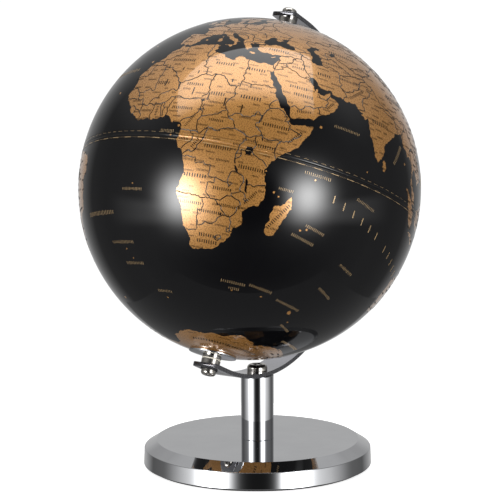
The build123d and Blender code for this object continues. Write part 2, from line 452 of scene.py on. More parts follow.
@dataclass
class Base:
    """The pressed base shell with its bevel, over the weight, the pad and the bolt."""

    bevel_width_mm: float = 5.2
    bevel_drop_mm: float = 3.25
    wall_flare_mm: float = 0.3
    sheet_mm: float = 1.2
    edge_radius_mm: float = 0.45
    inner_edge_mm: float = 0.3

    def build(self) -> None:
        """Builds the shell and dresses the pieces under it."""
        low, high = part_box("base_shell")
        rim = (high.x - low.x) / 2 / MM
        foot = low.z / MM
        top = high.z / MM
        wall = rim - self.wall_flare_mm
        flat = wall - self.bevel_width_mm
        shoulder = top - self.bevel_drop_mm
        sheet = self.sheet_mm
        edge = self.edge_radius_mm
        outline = rounded([
            (0.0, top - sheet, 0.0),
            (flat - sheet * 0.4, top - sheet, self.inner_edge_mm),
            (wall - sheet, shoulder - sheet * 0.4, self.inner_edge_mm),
            (rim - sheet, foot, 0.2),
            (rim, foot, self.inner_edge_mm),
            (wall, shoulder, edge),
            (flat, top, edge),
            (0.0, top, 0.0),
        ])
        axle = Axle(Vector((0, 0, 0)), Vector((0, 0, 1)), Vector((1, 0, 0)))
        shell = Turned(axle, outline, segments=256).build("base_cover", Wear.CHROME)
        settle(shell, "stand", "chrome_plate", "base_shell")
        repaint(["base_weight"], Wear.CAST_IRON)
        repaint(["base_pad"], Wear.FOAM)
        repaint(["base_bolt", "base_bolt_washer", "base_bolt_spring_washer"], Wear.ZINC)


@dataclass
class Post:
    """The chromed tube between the base and the arm, with its two tapped plugs."""

    wall_mm: float = 1.5
    lip_mm: float = 0.25

    def build(self) -> None:
        """Builds the tube and dresses its plugs."""
        low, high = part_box("post_tube")
        outer = (high.x - low.x) / 2 / MM
        inner = outer - self.wall_mm
        foot = low.z / MM
        top = high.z / MM
        lip = self.lip_mm
        outline = closed_outline([
            (inner, foot, lip), (outer, foot, lip), (outer, top, lip), (inner, top, lip),
        ])
        axle = Axle(Vector((0, 0, 0)), Vector((0, 0, 1)), Vector((1, 0, 0)))
        tube = Turned(axle, outline, closed=True, segments=96).build("post_sleeve", Wear.CHROME)
        settle(tube, "stand", "chrome_plate", "post_tube")
        repaint(["post_bottom_plug", "post_top_plug"], Wear.ZINC)


@dataclass
class PoleLine:
    """The globe's tilted axis, read from the joint, and the directions square to it."""

    centre: Vector = field(default_factory=lambda: Vector(frame["joints"][0]["pos_m"]))
    north: Vector = field(
        default_factory=lambda: Vector(frame["joints"][0]["axis"]).normalized()
    )

    @property
    def open_side(self) -> Vector:
        """The direction square to the axis, away from the arm."""
        return Vector((-self.north.z, 0.0, self.north.x))

    @property
    def east(self) -> Vector:
        """The direction that completes a right-handed set, so that the map isn't mirrored."""
        return self.north.cross(self.open_side)

    def from_pole(self, pole: int) -> Axle:
        """Gives the axle that runs outward through one pole.

        Args:
            pole: 1 for the north pole, -1 for the south pole.

        Returns:
            The axle, with its start at the globe's centre.
        """
        return Axle(self.centre.copy(), self.north * pole, self.open_side.copy())


@dataclass
class Arm:
    """The bent strip that holds the globe at both poles."""

    pole_line: PoleLine
    thickness_mm: float = 1.8
    corner_mm: float = 0.22
    tip_radius_mm: float = 1.3
    arc_steps: int = 96
    tip_steps: int = 8
    end_run_mm: float = 9.9

    def _stations(self) -> list[tuple[Vector, Vector, float]]:
        """Lists the strip's middle line: point, outward direction and width share."""
        low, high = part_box("meridian_arm")
        width = high.y - low.y
        tip = self.tip_radius_mm * MM
        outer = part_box("post_tube")[1].z
        radius = self._arc_height() - outer - self.thickness_mm * MM / 2
        centre = Vector((0, 0, self._arc_height()))
        north = self.pole_line.north
        away = -self.pole_line.open_side
        run = self.end_run_mm * MM
        ends: list[tuple[float, float]] = []
        for k in range(self.tip_steps + 1):
            angle = math.pi / 2 * k / self.tip_steps
            inset = tip * (1 - math.cos(angle))
            share = 1 - 2 * (tip - tip * math.sin(angle)) / width
            ends.append((run - inset if k else run, share))
        stations: list[tuple[Vector, Vector, float]] = []
        start = centre + north * radius
        for along, share in ends:
            stations.append((start - away * along, north.copy(), share))
        for k in range(self.arc_steps + 1):
            angle = math.pi * k / self.arc_steps
            out = north * math.cos(angle) + away * math.sin(angle)
            stations.append((centre + out * radius, out, 1.0))
        finish = centre - north * radius
        for along, share in reversed(ends):
            stations.append((finish - away * along, -north, share))
        return stations

    def _arc_height(self) -> float:
        """Gives the height of the arc's centre, which lies over the post's axis."""
        joint = self.pole_line.centre
        return joint.z - self.pole_line.open_side.z * joint.x / self.pole_line.open_side.x

    def build(self) -> None:
        """Sweeps a strip section with softened edges along the middle line."""
        low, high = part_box("meridian_arm")
        half = (high.y - low.y) / 2 / MM
        thick = self.thickness_mm / 2
        corner = self.corner_mm
        section = closed_outline([
            (-half, thick, corner), (-half, -thick, corner),
            (half, -thick, corner), (half, thick, corner),
        ])
        across = Vector((0, 1, 0))
        points: list[Vector] = []
        normals: list[Vector] = []
        rings: list[list[int]] = []
        for middle, out, share in self._stations():
            ring = []
            for side, lift, normal_side, normal_lift in section:
                ring.append(len(points))
                points.append(middle + across * side * share * MM + out * lift * MM)
                normals.append((across * normal_side + out * normal_lift).normalized())
            rings.append(ring)
        faces: list[list[int]] = []
        slots: list[int] = []
        count = len(section)
        flat = half * 2 * MM * 0.5
        for low_ring, high_ring in zip(rings, rings[1:]):
            for k in range(count):
                j = (k + 1) % count
                faces.append([low_ring[k], high_ring[k], high_ring[j], low_ring[j]])
                wide = abs(section[k][0] - section[j][0]) * MM > flat
                slots.append(0 if wide else 1)
        faces.append(list(rings[0]))
        faces.append(list(reversed(rings[-1])))
        slots += [1, 1]
        strip = piece_from(
            "arm_strip", np.array(points), np.array(normals), faces,
            [Wear.STRIP_FACE, Wear.STRIP_EDGE], slots,
        )
        settle(strip, "stand", "polished_strip", "meridian_arm")
        repaint(["arm_screw"], Wear.NICKEL)


@dataclass
class PoleFittings:
    """The screws, washers, collars and bushes that carry the globe, and the south disc."""

    pole_line: PoleLine
    disc_radius_mm: float = 9.75
    disc_thickness_mm: float = 0.9
    disc_notches: int = 36
    disc_notch_mm: float = 0.45
    disc_notch_share: float = 0.96
    disc_steps: int = 12
    disc_bore_mm: float = 2.7
    disc_clear_mm: float = 0.02

    def build(self) -> None:
        """Builds the dished disc and dresses the turned fittings."""
        globe = (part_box("north_hemisphere")[1].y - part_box("north_hemisphere")[0].y) / 2 / MM
        inner = globe + self.disc_clear_mm
        outer = inner + self.disc_thickness_mm
        edge_angle = math.asin(self.disc_radius_mm / outer)
        bore_angle = math.asin(self.disc_bore_mm / outer)
        rows: list[Pair] = []
        steps = self.disc_steps
        for k in range(steps + 1):
            angle = bore_angle + (edge_angle - bore_angle) * k / steps
            rows.append((inner * math.sin(angle), inner * math.cos(angle)))
        for k in range(steps + 1):
            angle = edge_angle - (edge_angle - bore_angle) * k / steps
            rows.append((outer * math.sin(angle), outer * math.cos(angle)))
        outline = self._dished(rows)
        disc = Turned(
            self.pole_line.from_pole(-1), outline, closed=True, segments=self.disc_notches * 8,
            scallops=self.disc_notches, scallop_mm=self.disc_notch_mm,
            scallop_from_mm=self.disc_radius_mm * self.disc_notch_share,
        ).build("south_disc", Wear.CHROME)
        settle(disc, "globe", "chrome_plate", "south_pole_disc")
        repaint(
            ["north_pivot_screw", "south_pivot_screw", "north_collar", "south_collar",
             "north_pole_bush", "south_pole_bush"],
            Wear.NICKEL,
        )
        repaint(["north_screw_washer", "south_screw_washer"], Wear.FIBRE)
        repaint(["south_thrust_washer"], Wear.NYLON)

    def _dished(self, rows: Sequence[Pair]) -> np.ndarray:
        """Works out the outward direction at each point of the disc's closed outline.

        Args:
            rows: (across, along) once round the outline.

        Returns:
            Rows of across, along and the outward unit normal.
        """
        corners = np.array(rows)
        ahead = np.roll(corners, -1, axis=0) - np.roll(corners, 1, axis=0)
        ahead /= np.linalg.norm(ahead, axis=1)[:, None]
        return np.column_stack([corners, ahead[:, 1], -ahead[:, 0]])


# ---------------------------------------------------------------- the map


def spots(text: str) -> list[Pair]:
    """Reads points written as longitude and latitude, in degrees, one after another."""
    values = [float(v) for v in text.split()]
    return list(zip(values[::2], values[1::2]))


LAND: dict[str, str] = {
    "africa": """-5.9 35.8 -5.3 35.9 -4 35.2 -2.9 35.3 -2 35.1 -1 35.7 0.5 36.2 2.5 36.7 4.8 36.9
        7 37 8.6 37 9.8 37.3 10.3 37.1 10.4 36.7 11 37 11.1 36.8 10.5 36.3 10.6 35.6 11.1 35.2
        10.7 34.7 10.1 34.2 10.4 33.7 11.2 33.2 12.3 32.9 13.3 32.9 14.3 32.6 15.2 32.4 15.4 31.6
        16.2 31.2 17.5 30.9 18.5 30.5 19.3 30.3 20 30.8 20.1 31.9 20.7 32.6 21.7 33 23.1 32.6
        23.2 32.1 25 31.7 26.5 31.5 28 31.1 29.5 31 30.3 31.5 31.2 31.6 32.2 31.3 32.6 31
        32.6 30 32.7 29.5 33.2 28.6 33.8 27.5 34.3 26.2 35 24.8 35.6 24 35.5 23.2 36.8 22.2
        37.2 21 37.3 19.5 37.4 18.8 38.4 18.1 39 16.8 39.3 15.8 39.8 15.2 41.1 14.6 42.3 13.2
        43.1 12.5 43.3 11.8 42.7 11.5 44 10.5 45 10.5 47 11.1 49 11.3 51.2 11.9 51.1 10.5
        50.8 9.4 49.8 8 48.9 6.3 48 4.5 46 2.4 44 1 42.6 -0.4 41.5 -1.8 40.3 -2.6 39.7 -4
        38.8 -5.6 38.9 -6.4 39.5 -7 39.3 -8 39.6 -9.3 40.4 -10.5 40.6 -12.5 40.7 -15 39.8 -16.4
        38 -17.3 36.9 -18 35.3 -19.5 34.7 -20 35.1 -21.5 35.5 -22.5 35.5 -24 34.6 -24.8 33 -25.4
        32.7 -26.2 32.9 -27 32.5 -28.4 31.5 -29.3 30.5 -30.8 29 -32.2 27.5 -33.2 26 -33.8
        24.5 -34.1 22.5 -34.1 20 -34.8 18.8 -34.3 18.4 -33.9 18 -32.9 18.3 -32 17.6 -30.7
        16.8 -29.2 15.9 -28 15.2 -26.8 14.9 -25.5 14.5 -24 14.5 -22.6 13.5 -20.8 12.5 -18.8
        11.8 -17.5 11.9 -16 12.5 -14 13 -12.9 13.8 -11.2 13.3 -9.5 13.2 -8.5 12.4 -6.8 12.2 -5.8
        11.8 -4.8 10.8 -3.7 9.6 -2.3 8.9 -1 9.4 0.2 9.6 1.2 9.8 2.5 9.7 3.6 8.9 4.6 8.3 4.6
        7.2 4.5 6 4.3 5.3 5.2 4.4 6.3 2.6 6.3 1.2 6 0.8 5.7 -1 5.2 -2.1 4.8 -3.2 5 -4.8 5.2
        -6 4.8 -7.5 4.4 -9.3 5.6 -10.5 6.3 -11.4 6.9 -12.6 7.6 -13.2 8.5 -13.3 9.4 -14.5 10.2
        -15.1 11 -16.6 12.2 -16.8 13.3 -17.4 14.6 -16.6 15.8 -16.2 18 -16.3 19.3 -17 21
        -16 23.6 -14.9 25 -14.4 26.2 -13 27.7 -11 28.8 -9.7 29.8 -9.7 31.2 -9.2 32.4 -7.6 33.7
        -6.3 34.9""",
    "eurasia": """32.3 31.3 33.5 31.1 34.3 31.3 34.9 32.6 35.6 33.8 35.9 35.2 36.1 36.6 34.6 36.7
        33 36.1 31.2 36.6 30.6 36.8 29 36.4 27.4 37 26.3 38.3 26.8 39.3 26.2 40 28 40.4 29.2 40.7
        29 41.1 31.3 41.2 33.3 42 35 42 36.2 41.4 38.3 41 40 41 41.5 41.5 41.5 42.4 39.8 43.5
        37.5 44.7 38.2 46 39.2 47.1 36.5 46.7 35.2 46.2 36.5 45.3 35.2 45.1 33.8 44.4 32.6 45.4
        33.3 46.1 31.5 46.6 30 45.9 29.6 45 28.6 43.8 27.8 42.6 28.1 41.6 29 41.3 28 41 26.8 40.6
        25.2 40.9 23.8 40.7 24.2 40.1 22.7 40.4 22.9 39.4 23.8 38.3 24 37.7 23.1 37.4 22.9 36.5
        21.7 36.9 21.2 37.9 20.7 38.8 19.4 40.5 19.5 41.8 18 42.7 16 43.6 14.9 45 13.7 45.1
        13.6 45.7 12.4 45.4 12.4 44.4 13.6 43.5 14.1 42.5 15.9 41.9 18.4 40.2 17.2 40.4 16.6 39.7
        17.1 39 16.1 38 15.7 38 16.1 38.8 15.3 40.1 14 40.8 12.3 41.7 10.6 42.9 10.2 43.9
        8.8 44.4 7.3 43.7 5 43.3 3.2 43.1 3.1 42 0.9 40.9 -0.2 39.5 0.1 38.7 -0.8 37.7 -2.1 36.8
        -4.5 36.7 -5.6 36 -6.3 36.8 -7.5 37.1 -8.9 37 -8.8 38.4 -9.4 38.8 -8.7 41.2 -9 43
        -7.9 43.7 -4 43.4 -1.7 43.4 -1.2 45 -1.5 46.5 -4.5 48.1 -1.6 48.7 -1.6 49.6 0.2 49.6
        1.7 50.7 3.5 51.5 4.8 53.1 8.2 53.8 8.3 55.5 8.2 57 10.5 57.7 10.6 56 9.8 54.9 11 54.1
        14.2 53.9 18.5 54.7 20 54.6 21.1 56 22 57.5 24.2 57.2 23.5 58.8 25 59.5 28.5 59.8 30 60.1
        27 60.5 22.9 59.9 21.3 61 21.5 62.8 25.3 64.8 24.5 65.8 22 65.5 21 64 17.5 62 17.2 60.7
        18.9 59.8 16.8 58.5 16 56.5 14.3 55.6 12.9 55.5 12.5 56.5 11.3 58.9 10.4 59.4 8 58.1
        5.6 58.7 5.1 61 6.5 62.6 10 63.8 13 66 16 68.5 20 69.9 26 71 31 70.3 33 69.4 41 67.7
        40 66.3 34 66.7 35 64.3 38 64.3 40.5 64.6 42.5 66.4 44.5 68.2 46.5 68.2 53 68.8 60 69.6
        65 69.2 68.5 71 70 73 73 71.5 75.5 72.5 80.5 73.5 87 75 98 76.2 104.5 77.6 113 74
        127 73.4 131 71 140 72.5 152 70.9 160 69.7 170 69.2 178 69.4 190 66.3 186 64.6 178 62.5
        170 60 163.5 59.8 162 56.5 158.5 53 156.7 51 155.7 55 160 60.5 155 59.3 143 59.3
        135.5 54.8 140.5 52.5 140.3 48.3 135.5 44.2 131 42.8 129.5 41 127.5 39.5 129.3 37
        129.2 35.2 126.5 34.4 126.5 37.5 125 38.5 124.3 39.9 121.5 39 122 40.6 119 39.2 118 38.5
        120.5 37.7 122.5 37 119.5 35.3 121.5 32 121.9 30 119.5 25.8 117 23.5 113.5 22.2
        110.4 20.5 108.3 21.6 106 19.5 107.2 17 109.2 13.5 109 11.5 106.7 10.2 105 8.7 104.8 10.3
        102.5 12 100.9 13.4 99.9 12 99.3 9.5 100.5 7.2 103.4 4.5 104.1 1.4 102.5 2 100.5 4.5
        98.4 8 98.7 11.5 97.7 15.5 95.4 15.8 94.3 17.8 92.3 20.8 91.5 22.7 90 21.9 88 21.7
        86.9 21.3 86.5 20.2 84.9 19.2 82.3 16.9 80.9 15.8 80.2 14.5 80.3 13.2 79.8 11.2 79 9.6
        78.2 8.9 77.5 8.1 76.4 9.3 75.3 11.8 74.5 14 73.3 16.5 72.8 18.9 72.7 21 72.3 21.8
        71 20.8 69.2 22.2 70.3 22.9 68.6 23.4 67.3 24.8 66.5 25.4 62 25.2 59 25.5 57.3 25.8
        56.9 27 54.8 26.6 53 26.8 51.5 27.9 50.7 29.5 49.8 30.2 48.5 30 48 29.4 48.6 28 50.1 26.7
        50.2 25.6 50.8 24.8 50.8 25.6 51.3 26.1 51.6 25.2 51.4 24.4 52.6 24.2 54.2 24.2 55.6 25.5
        56.2 26.3 56.4 25 56.9 24.2 58.6 23.6 59.8 22.5 58.6 20.5 57.7 19 56.3 17.9 54.8 17
        52.2 15.7 49 14.1 47.4 13.6 45 12.8 43.5 12.7 43.2 13.3 42.8 15.5 42.6 16.6 41.2 18.7
        39.7 20.3 39.1 21.5 38.4 23.6 37.2 24.9 36.6 26 35.2 28 34.9 29.4 34.4 28.1 33.6 28.2
        32.7 29.8 32.5 30""",
    "madagascar": """49.3 -12 50.2 -14.5 50.4 -15.6 49.8 -16 49.5 -18 48.4 -20.8 47.2 -24.6
        45.5 -25.5 44 -24.9 43.4 -22.5 44.4 -20.2 44.2 -18 44.5 -16.2 46.5 -15.6 48 -13.8
        48.9 -12.5""",
    "ceylon": "79.9 9.4 80.3 9.7 81.3 8.4 81.8 7.2 81 6.1 80.2 6 79.8 7.5",
    "cyprus": "32.4 34.9 33.4 35.3 34.4 35.6 33.8 35 32.8 34.6",
    "crete": "23.6 35.4 26.2 35.2 24.8 34.9",
    "sicily": "12.5 37.8 15.5 38.2 15.1 36.8 13 37.5",
    "sardinia": "8.2 40.8 9.6 41.1 9.6 39.2 8.5 39",
    "corsica": "8.7 42.4 9.4 42.9 9.3 41.5",
    "britain": """-5.6 50.1 -3.5 50.4 1.2 51.2 1.6 52.8 0.2 53.4 -1.6 55.3 -2 57.6 -4 57.9 -3.2 58.6
        -5 58.5 -5.8 56.8 -4.8 55 -3.1 54.3 -4.4 53.2 -4.8 51.9 -3 51.4""",
    "ireland": "-10 52 -6.3 52.2 -6 54 -7.3 55.3 -10 54.2 -9 53.2",
    "iceland": "-22 64 -18.5 63.4 -14 64.8 -16 66.4 -20 65.9 -24 65.5",
    "novaya": "52 71 57 70.8 56 73 68 76.6 60 76 53 73",
    "svalbard": "14 77 18 76.7 24 78.5 20 80.4 11 79.5",
    "south_america": """-77.3 8.5 -75.5 10.7 -73 11.3 -71.7 12.3 -71.5 10.9 -70 11.8 -68.3 10.8
        -65 10.2 -62.5 10.6 -61 9.5 -59 8 -57 6 -54 5.8 -51.7 4.3 -50 1.5 -50.2 -0.3 -48 -0.8
        -44.5 -2.3 -41.5 -2.9 -38.5 -3.7 -37 -4.8 -35.3 -5.5 -34.8 -7.5 -35.3 -9.5 -37.2 -11.3
        -38.8 -13.2 -39.1 -16.5 -39.7 -19.5 -41 -22 -43.5 -23 -46 -24 -48.5 -26 -48.7 -28.4
        -50.5 -30.6 -52.3 -33 -54.5 -34.9 -57.5 -34.5 -58.3 -34 -57.3 -36 -57.6 -38.1 -61.8 -39
        -62.5 -41 -65 -41 -63.8 -42.7 -65.5 -45 -67.5 -46.3 -65.8 -47.8 -68.5 -50.2 -68.4 -52.4
        -65.5 -54.7 -68.5 -55.3 -72.5 -53.5 -75.5 -50 -74.5 -46.5 -73 -42 -73.5 -38.5 -71.6 -33.5
        -71.4 -29.5 -70.3 -25 -70.2 -18.5 -72.5 -17 -76.2 -14 -78.5 -9.5 -81.2 -6 -80.3 -3.4
        -80.9 -1 -79.5 1 -77.3 3.8 -77.5 7""",
    "north_america": """-77.2 8.4 -79.5 9.5 -82 9 -83.5 11 -83.4 15 -86 15.9 -88.4 15.8 -87.8 18
        -86.9 21.3 -90.3 21 -91.3 18.7 -94.5 18.2 -97.2 20.5 -97.7 24 -97.2 27.6 -94.7 29.4
        -90 29.2 -88 30.3 -84 30 -82.7 28 -81.2 25.2 -80.1 26.8 -81.3 30.5 -78 33.9 -75.6 35.3
        -76 37 -74 40.2 -70.5 41.7 -70 43.7 -66.5 44.8 -65 43.6 -60.5 46 -64.5 47 -64.8 49
        -69 48.8 -66 50.2 -60 50.2 -55.8 52.5 -57.5 54.8 -61.5 56.8 -64.5 60.3 -69.5 61
        -73.5 62.4 -78 62.4 -77.5 60 -78.5 57.5 -76.6 55.5 -79 54.5 -79 51.5 -82.3 53 -82.3 55.2
        -88 56.5 -92.5 57 -94.7 59 -94 61.5 -90.5 63.5 -87.5 65 -86 67.5 -82 69 -85.5 69.8
        -91.5 69.5 -94 71.9 -96.5 68.5 -102 67.8 -110 68 -115 68.8 -125 69.8 -135 69.2 -141 69.7
        -150 70.5 -156.7 71.3 -163 69.5 -166.5 68.3 -162 66.5 -168 65.6 -161 64.5 -164.5 63
        -166 61.5 -162 59.3 -157.5 58.7 -160 56 -164.8 54.6 -158 56.5 -153.5 58.8 -151.5 61
        -149 60 -144 60.1 -139.5 59.6 -136 58 -131 55 -127.5 51.5 -123 49 -124.6 48.3 -124 44
        -124.3 40.5 -122.4 37.3 -120.6 34.6 -117.2 32.7 -115.8 30.3 -114.5 28 -112.2 25.5
        -110 23 -109.5 23.2 -111.3 26.5 -113 29.5 -114.7 31.7 -112.5 29.5 -109.4 26 -106 22.8
        -105.5 20 -101.5 17.6 -96.5 15.7 -94 16.2 -91.5 14 -87.6 12.9 -85.8 10.5 -83 8.3
        -80.3 7.4 -78.3 8.2 -77.4 7.6""",
    "greenland": """-43.5 60 -48.5 61.5 -53.5 66.5 -51 69.5 -55 72 -61 76 -70 76.5 -68 79.5
        -60 81.8 -45 82.8 -32 83.5 -20 81.8 -18 79.5 -20 76 -22 72.5 -25.5 70.8 -32 68.2
        -38 65.8 -41 63.5""",
    "baffin": "-62 66.5 -65 62.5 -72 64.5 -77 65.5 -73 68 -79 70 -89 71 -88 73.5 -80 73.7 -68 70.5 -61.5 67",
    "victoria": "-105 69 -115 69.5 -117 72.5 -108 73.5 -101 70",
    "ellesmere": "-78 76.5 -90 76.5 -90 80 -70 83 -63 82 -75 79",
    "newfoundland": "-59 47.7 -53 46.8 -53.5 49 -56 51.5",
    "cuba": "-84.9 21.9 -82 23.1 -79 22.6 -74.3 20.2 -77.5 19.9 -80 21.7",
    "hispaniola": "-74 20 -68.5 18.8 -71.5 17.8 -74.3 18.5",
    "australia": """113.7 -22.5 114.2 -26.2 115.7 -31.8 115.2 -34.3 118 -35.1 123.5 -33.9 126 -32.3
        131.2 -31.5 134.2 -33 135.8 -34.9 137.8 -32.7 138.2 -35.5 140.6 -38 143.5 -38.8
        146.3 -39 150 -37.4 151.4 -33.4 153.1 -30.5 153.4 -27.3 150.8 -23.3 147.5 -19.8
        145.8 -16.9 144.5 -14.3 142.6 -10.8 141.6 -14 140.8 -17.5 137 -15.8 135.5 -14.8
        136.8 -12.2 132.5 -11.3 130 -13.3 128.5 -15 125.5 -14.2 122.3 -18.1 118.7 -20.3
        115.5 -21.4""",
    "tasmania": "144.7 -40.8 148.3 -40.9 147 -43.6 145.5 -42.8",
    "north_zealand": "172.8 -34.5 175.5 -36.8 178.4 -37.7 176.9 -39.5 175.2 -41.6 173.8 -39.3 174.8 -38",
    "south_zealand": "172.7 -40.6 174.2 -41.5 172.8 -43.8 170.5 -46 168.5 -46.6 166.5 -45.9 170.5 -43",
    "new_guinea": """131 -0.8 134 -0.8 135 -3.3 138 -1.7 141 -2.6 145 -4.3 147.8 -6.2 147.5 -8
        150.5 -10.5 147 -9.5 143.5 -8.5 141 -9.1 138 -8.3 137.5 -5 133 -4 132.5 -2.8""",
    "borneo": "109 1.5 110.2 -2.9 114.5 -4 116.3 -3.5 117.8 0.8 119 5.2 116.8 7 113.5 3.5 111.3 2.4",
    "sumatra": "95.3 5.6 98.5 4 103.5 0.5 106 -3 105.7 -5.8 102.3 -4 100.3 -1 98 2",
    "java": "105.2 -6.8 108.5 -6.7 112.7 -6.9 114.5 -7.8 114.3 -8.7 108.5 -7.8",
    "sulawesi": "119.5 -5.5 120.4 -3 122.5 -5 121.5 -2 123.3 -0.9 120.5 0.5 124.8 1.5 120.4 1.2 119 -2.5",
    "luzon": "120.3 16 120.7 18.5 122.3 18.3 121.6 15.5 124 12.7 120.8 13.9",
    "mindanao": "122 7 123.5 8.6 125.5 9.7 126.4 7 125.5 5.8",
    "honshu": """131 34 135.8 35.6 137 37.2 139.5 38.5 140.2 41.2 141.9 39.5 140.8 35.7 138.5 34.7
        136 33.7 132.5 34.1""",
    "kyushu": "130 33.5 131.8 33.2 131 31.3 130.2 31.6",
    "hokkaido": "140 41.7 141.7 45.3 145.3 43.5 143.2 42",
    "sakhalin": "142 46 143.2 49 143.2 52 142.5 54 141.8 51",
    "taiwan": "120.1 23 121.5 25.2 120.9 22",
    "hainan": "108.7 19.2 110.7 20 109.6 18.3",
    "antarctica": """-180 -78 -165 -78.5 -155 -77.2 -145 -75.5 -130 -74.3 -115 -73.8 -102 -72.8
        -90 -73 -75 -73 -68 -67.5 -57.5 -63.4 -61 -67 -62 -72 -60 -75 -45 -78 -35 -78 -25 -76
        -15 -73 -5 -71 5 -70 15 -69.8 25 -70 33 -68.8 40 -69.5 48 -67.6 55 -66 62 -67.5 69 -68
        74 -70 80 -68 88 -66.8 100 -65.8 110 -66.3 120 -66.8 130 -66 142 -67 155 -69 165 -71
        170 -72.5 165 -76 167 -78""",
}

# Small islands: longitude, latitude, half-width in degrees.
ISLANDS: list[tuple[float, float, float]] = [
    (-15.6, 28, 0.6), (-24, 15.5, 0.5), (43.4, -11.8, 0.45), (55.5, -4.7, 0.35),
    (57.6, -20.3, 0.4), (55.5, -21.1, 0.4), (73.4, 3.5, 0.3), (53.9, 12.5, 0.55),
    (69.5, -49.3, 0.9), (51.7, -46.4, 0.35), (37.8, -46.8, 0.35), (-5.7, -15.9, 0.3),
    (-12.3, -37.1, 0.35), (-9.9, -40.3, 0.3), (3.4, -54.4, 0.35), (73.5, -53.1, 0.35),
    (-36.8, -54.4, 0.6), (-59, -51.8, 1.1), (-155.5, 19.6, 0.7), (3, 39.6, 0.45),
    (8.7, 3.5, 0.4), (6.6, 0.2, 0.3), (-25.5, 37.8, 0.5), (-77.3, 18.1, 0.7),
    (-66.5, 18.2, 0.7), (178, -17.8, 0.8), (165.5, -21.5, 1.1), (92.8, 12.5, 0.5),
    (39.4, -6.1, 0.35), (45.2, -12.8, 0.3), (124, -9.3, 1.2), (-91, -0.6, 0.7),
]

WATER: dict[str, str] = {
    "caspian": """49 46.5 51.5 46.9 53 46.5 53.1 45.3 51.3 45.2 51 44.4 50.3 44.3 51 43 52.5 42.5
        52.7 41.5 53.8 41 53 40 53.8 39 53.9 37.3 51 36.7 49 37.6 48.9 38.8 49.3 40.2 48.5 41.9
        47.6 43 47 44.3""",
    "aral": "58.5 45.5 60 46.5 61.5 46.3 61 44.8 59 43.8 58.3 44.4",
    "lake_victoria": "31.8 -0.5 32 0.2 33.5 0.4 34.2 -0.3 33.8 -1.5 33.3 -2.4 32 -2.6 31.7 -1.4",
    "tanganyika": "29.2 -3.4 29.4 -5 30.3 -7 31.2 -8.8 30.6 -8.6 29.6 -7 29 -5.2 29 -3.6",
    "malawi": "34 -9.6 34.7 -11 34.7 -13 35.2 -14.3 34.6 -13.9 34.1 -12 33.8 -10.3",
    "turkana": "36 4.5 36.5 3.5 36.6 2.5 36.1 3.2",
    "lake_chad": "13.5 13.3 14.6 13.6 15 12.9 14 12.5",
    "baikal": "104 51.5 107 52.5 109.8 55.7 109 55.6 106.5 53.4 104 51.8",
    "superior": "-92 46.7 -88 48.6 -84.7 47.8 -84.6 46.6 -88 46.8",
    "huron": "-87.7 42 -87.5 44.8 -84.8 46 -80.2 44.8 -82.3 43.2 -83.6 45.3 -85.5 45 -86.5 43",
    "erie": "-83.2 41.8 -79 43 -76.5 43.8 -79.5 43.5 -81.5 42.7",
    "winnipeg": "-97 50.5 -98.8 53.5 -97.8 53.8 -96.4 51",
    "great_bear": "-118 66 -124 66 -121 67",
    "great_slave": "-109.5 62.5 -117 61 -113 62.4",
}

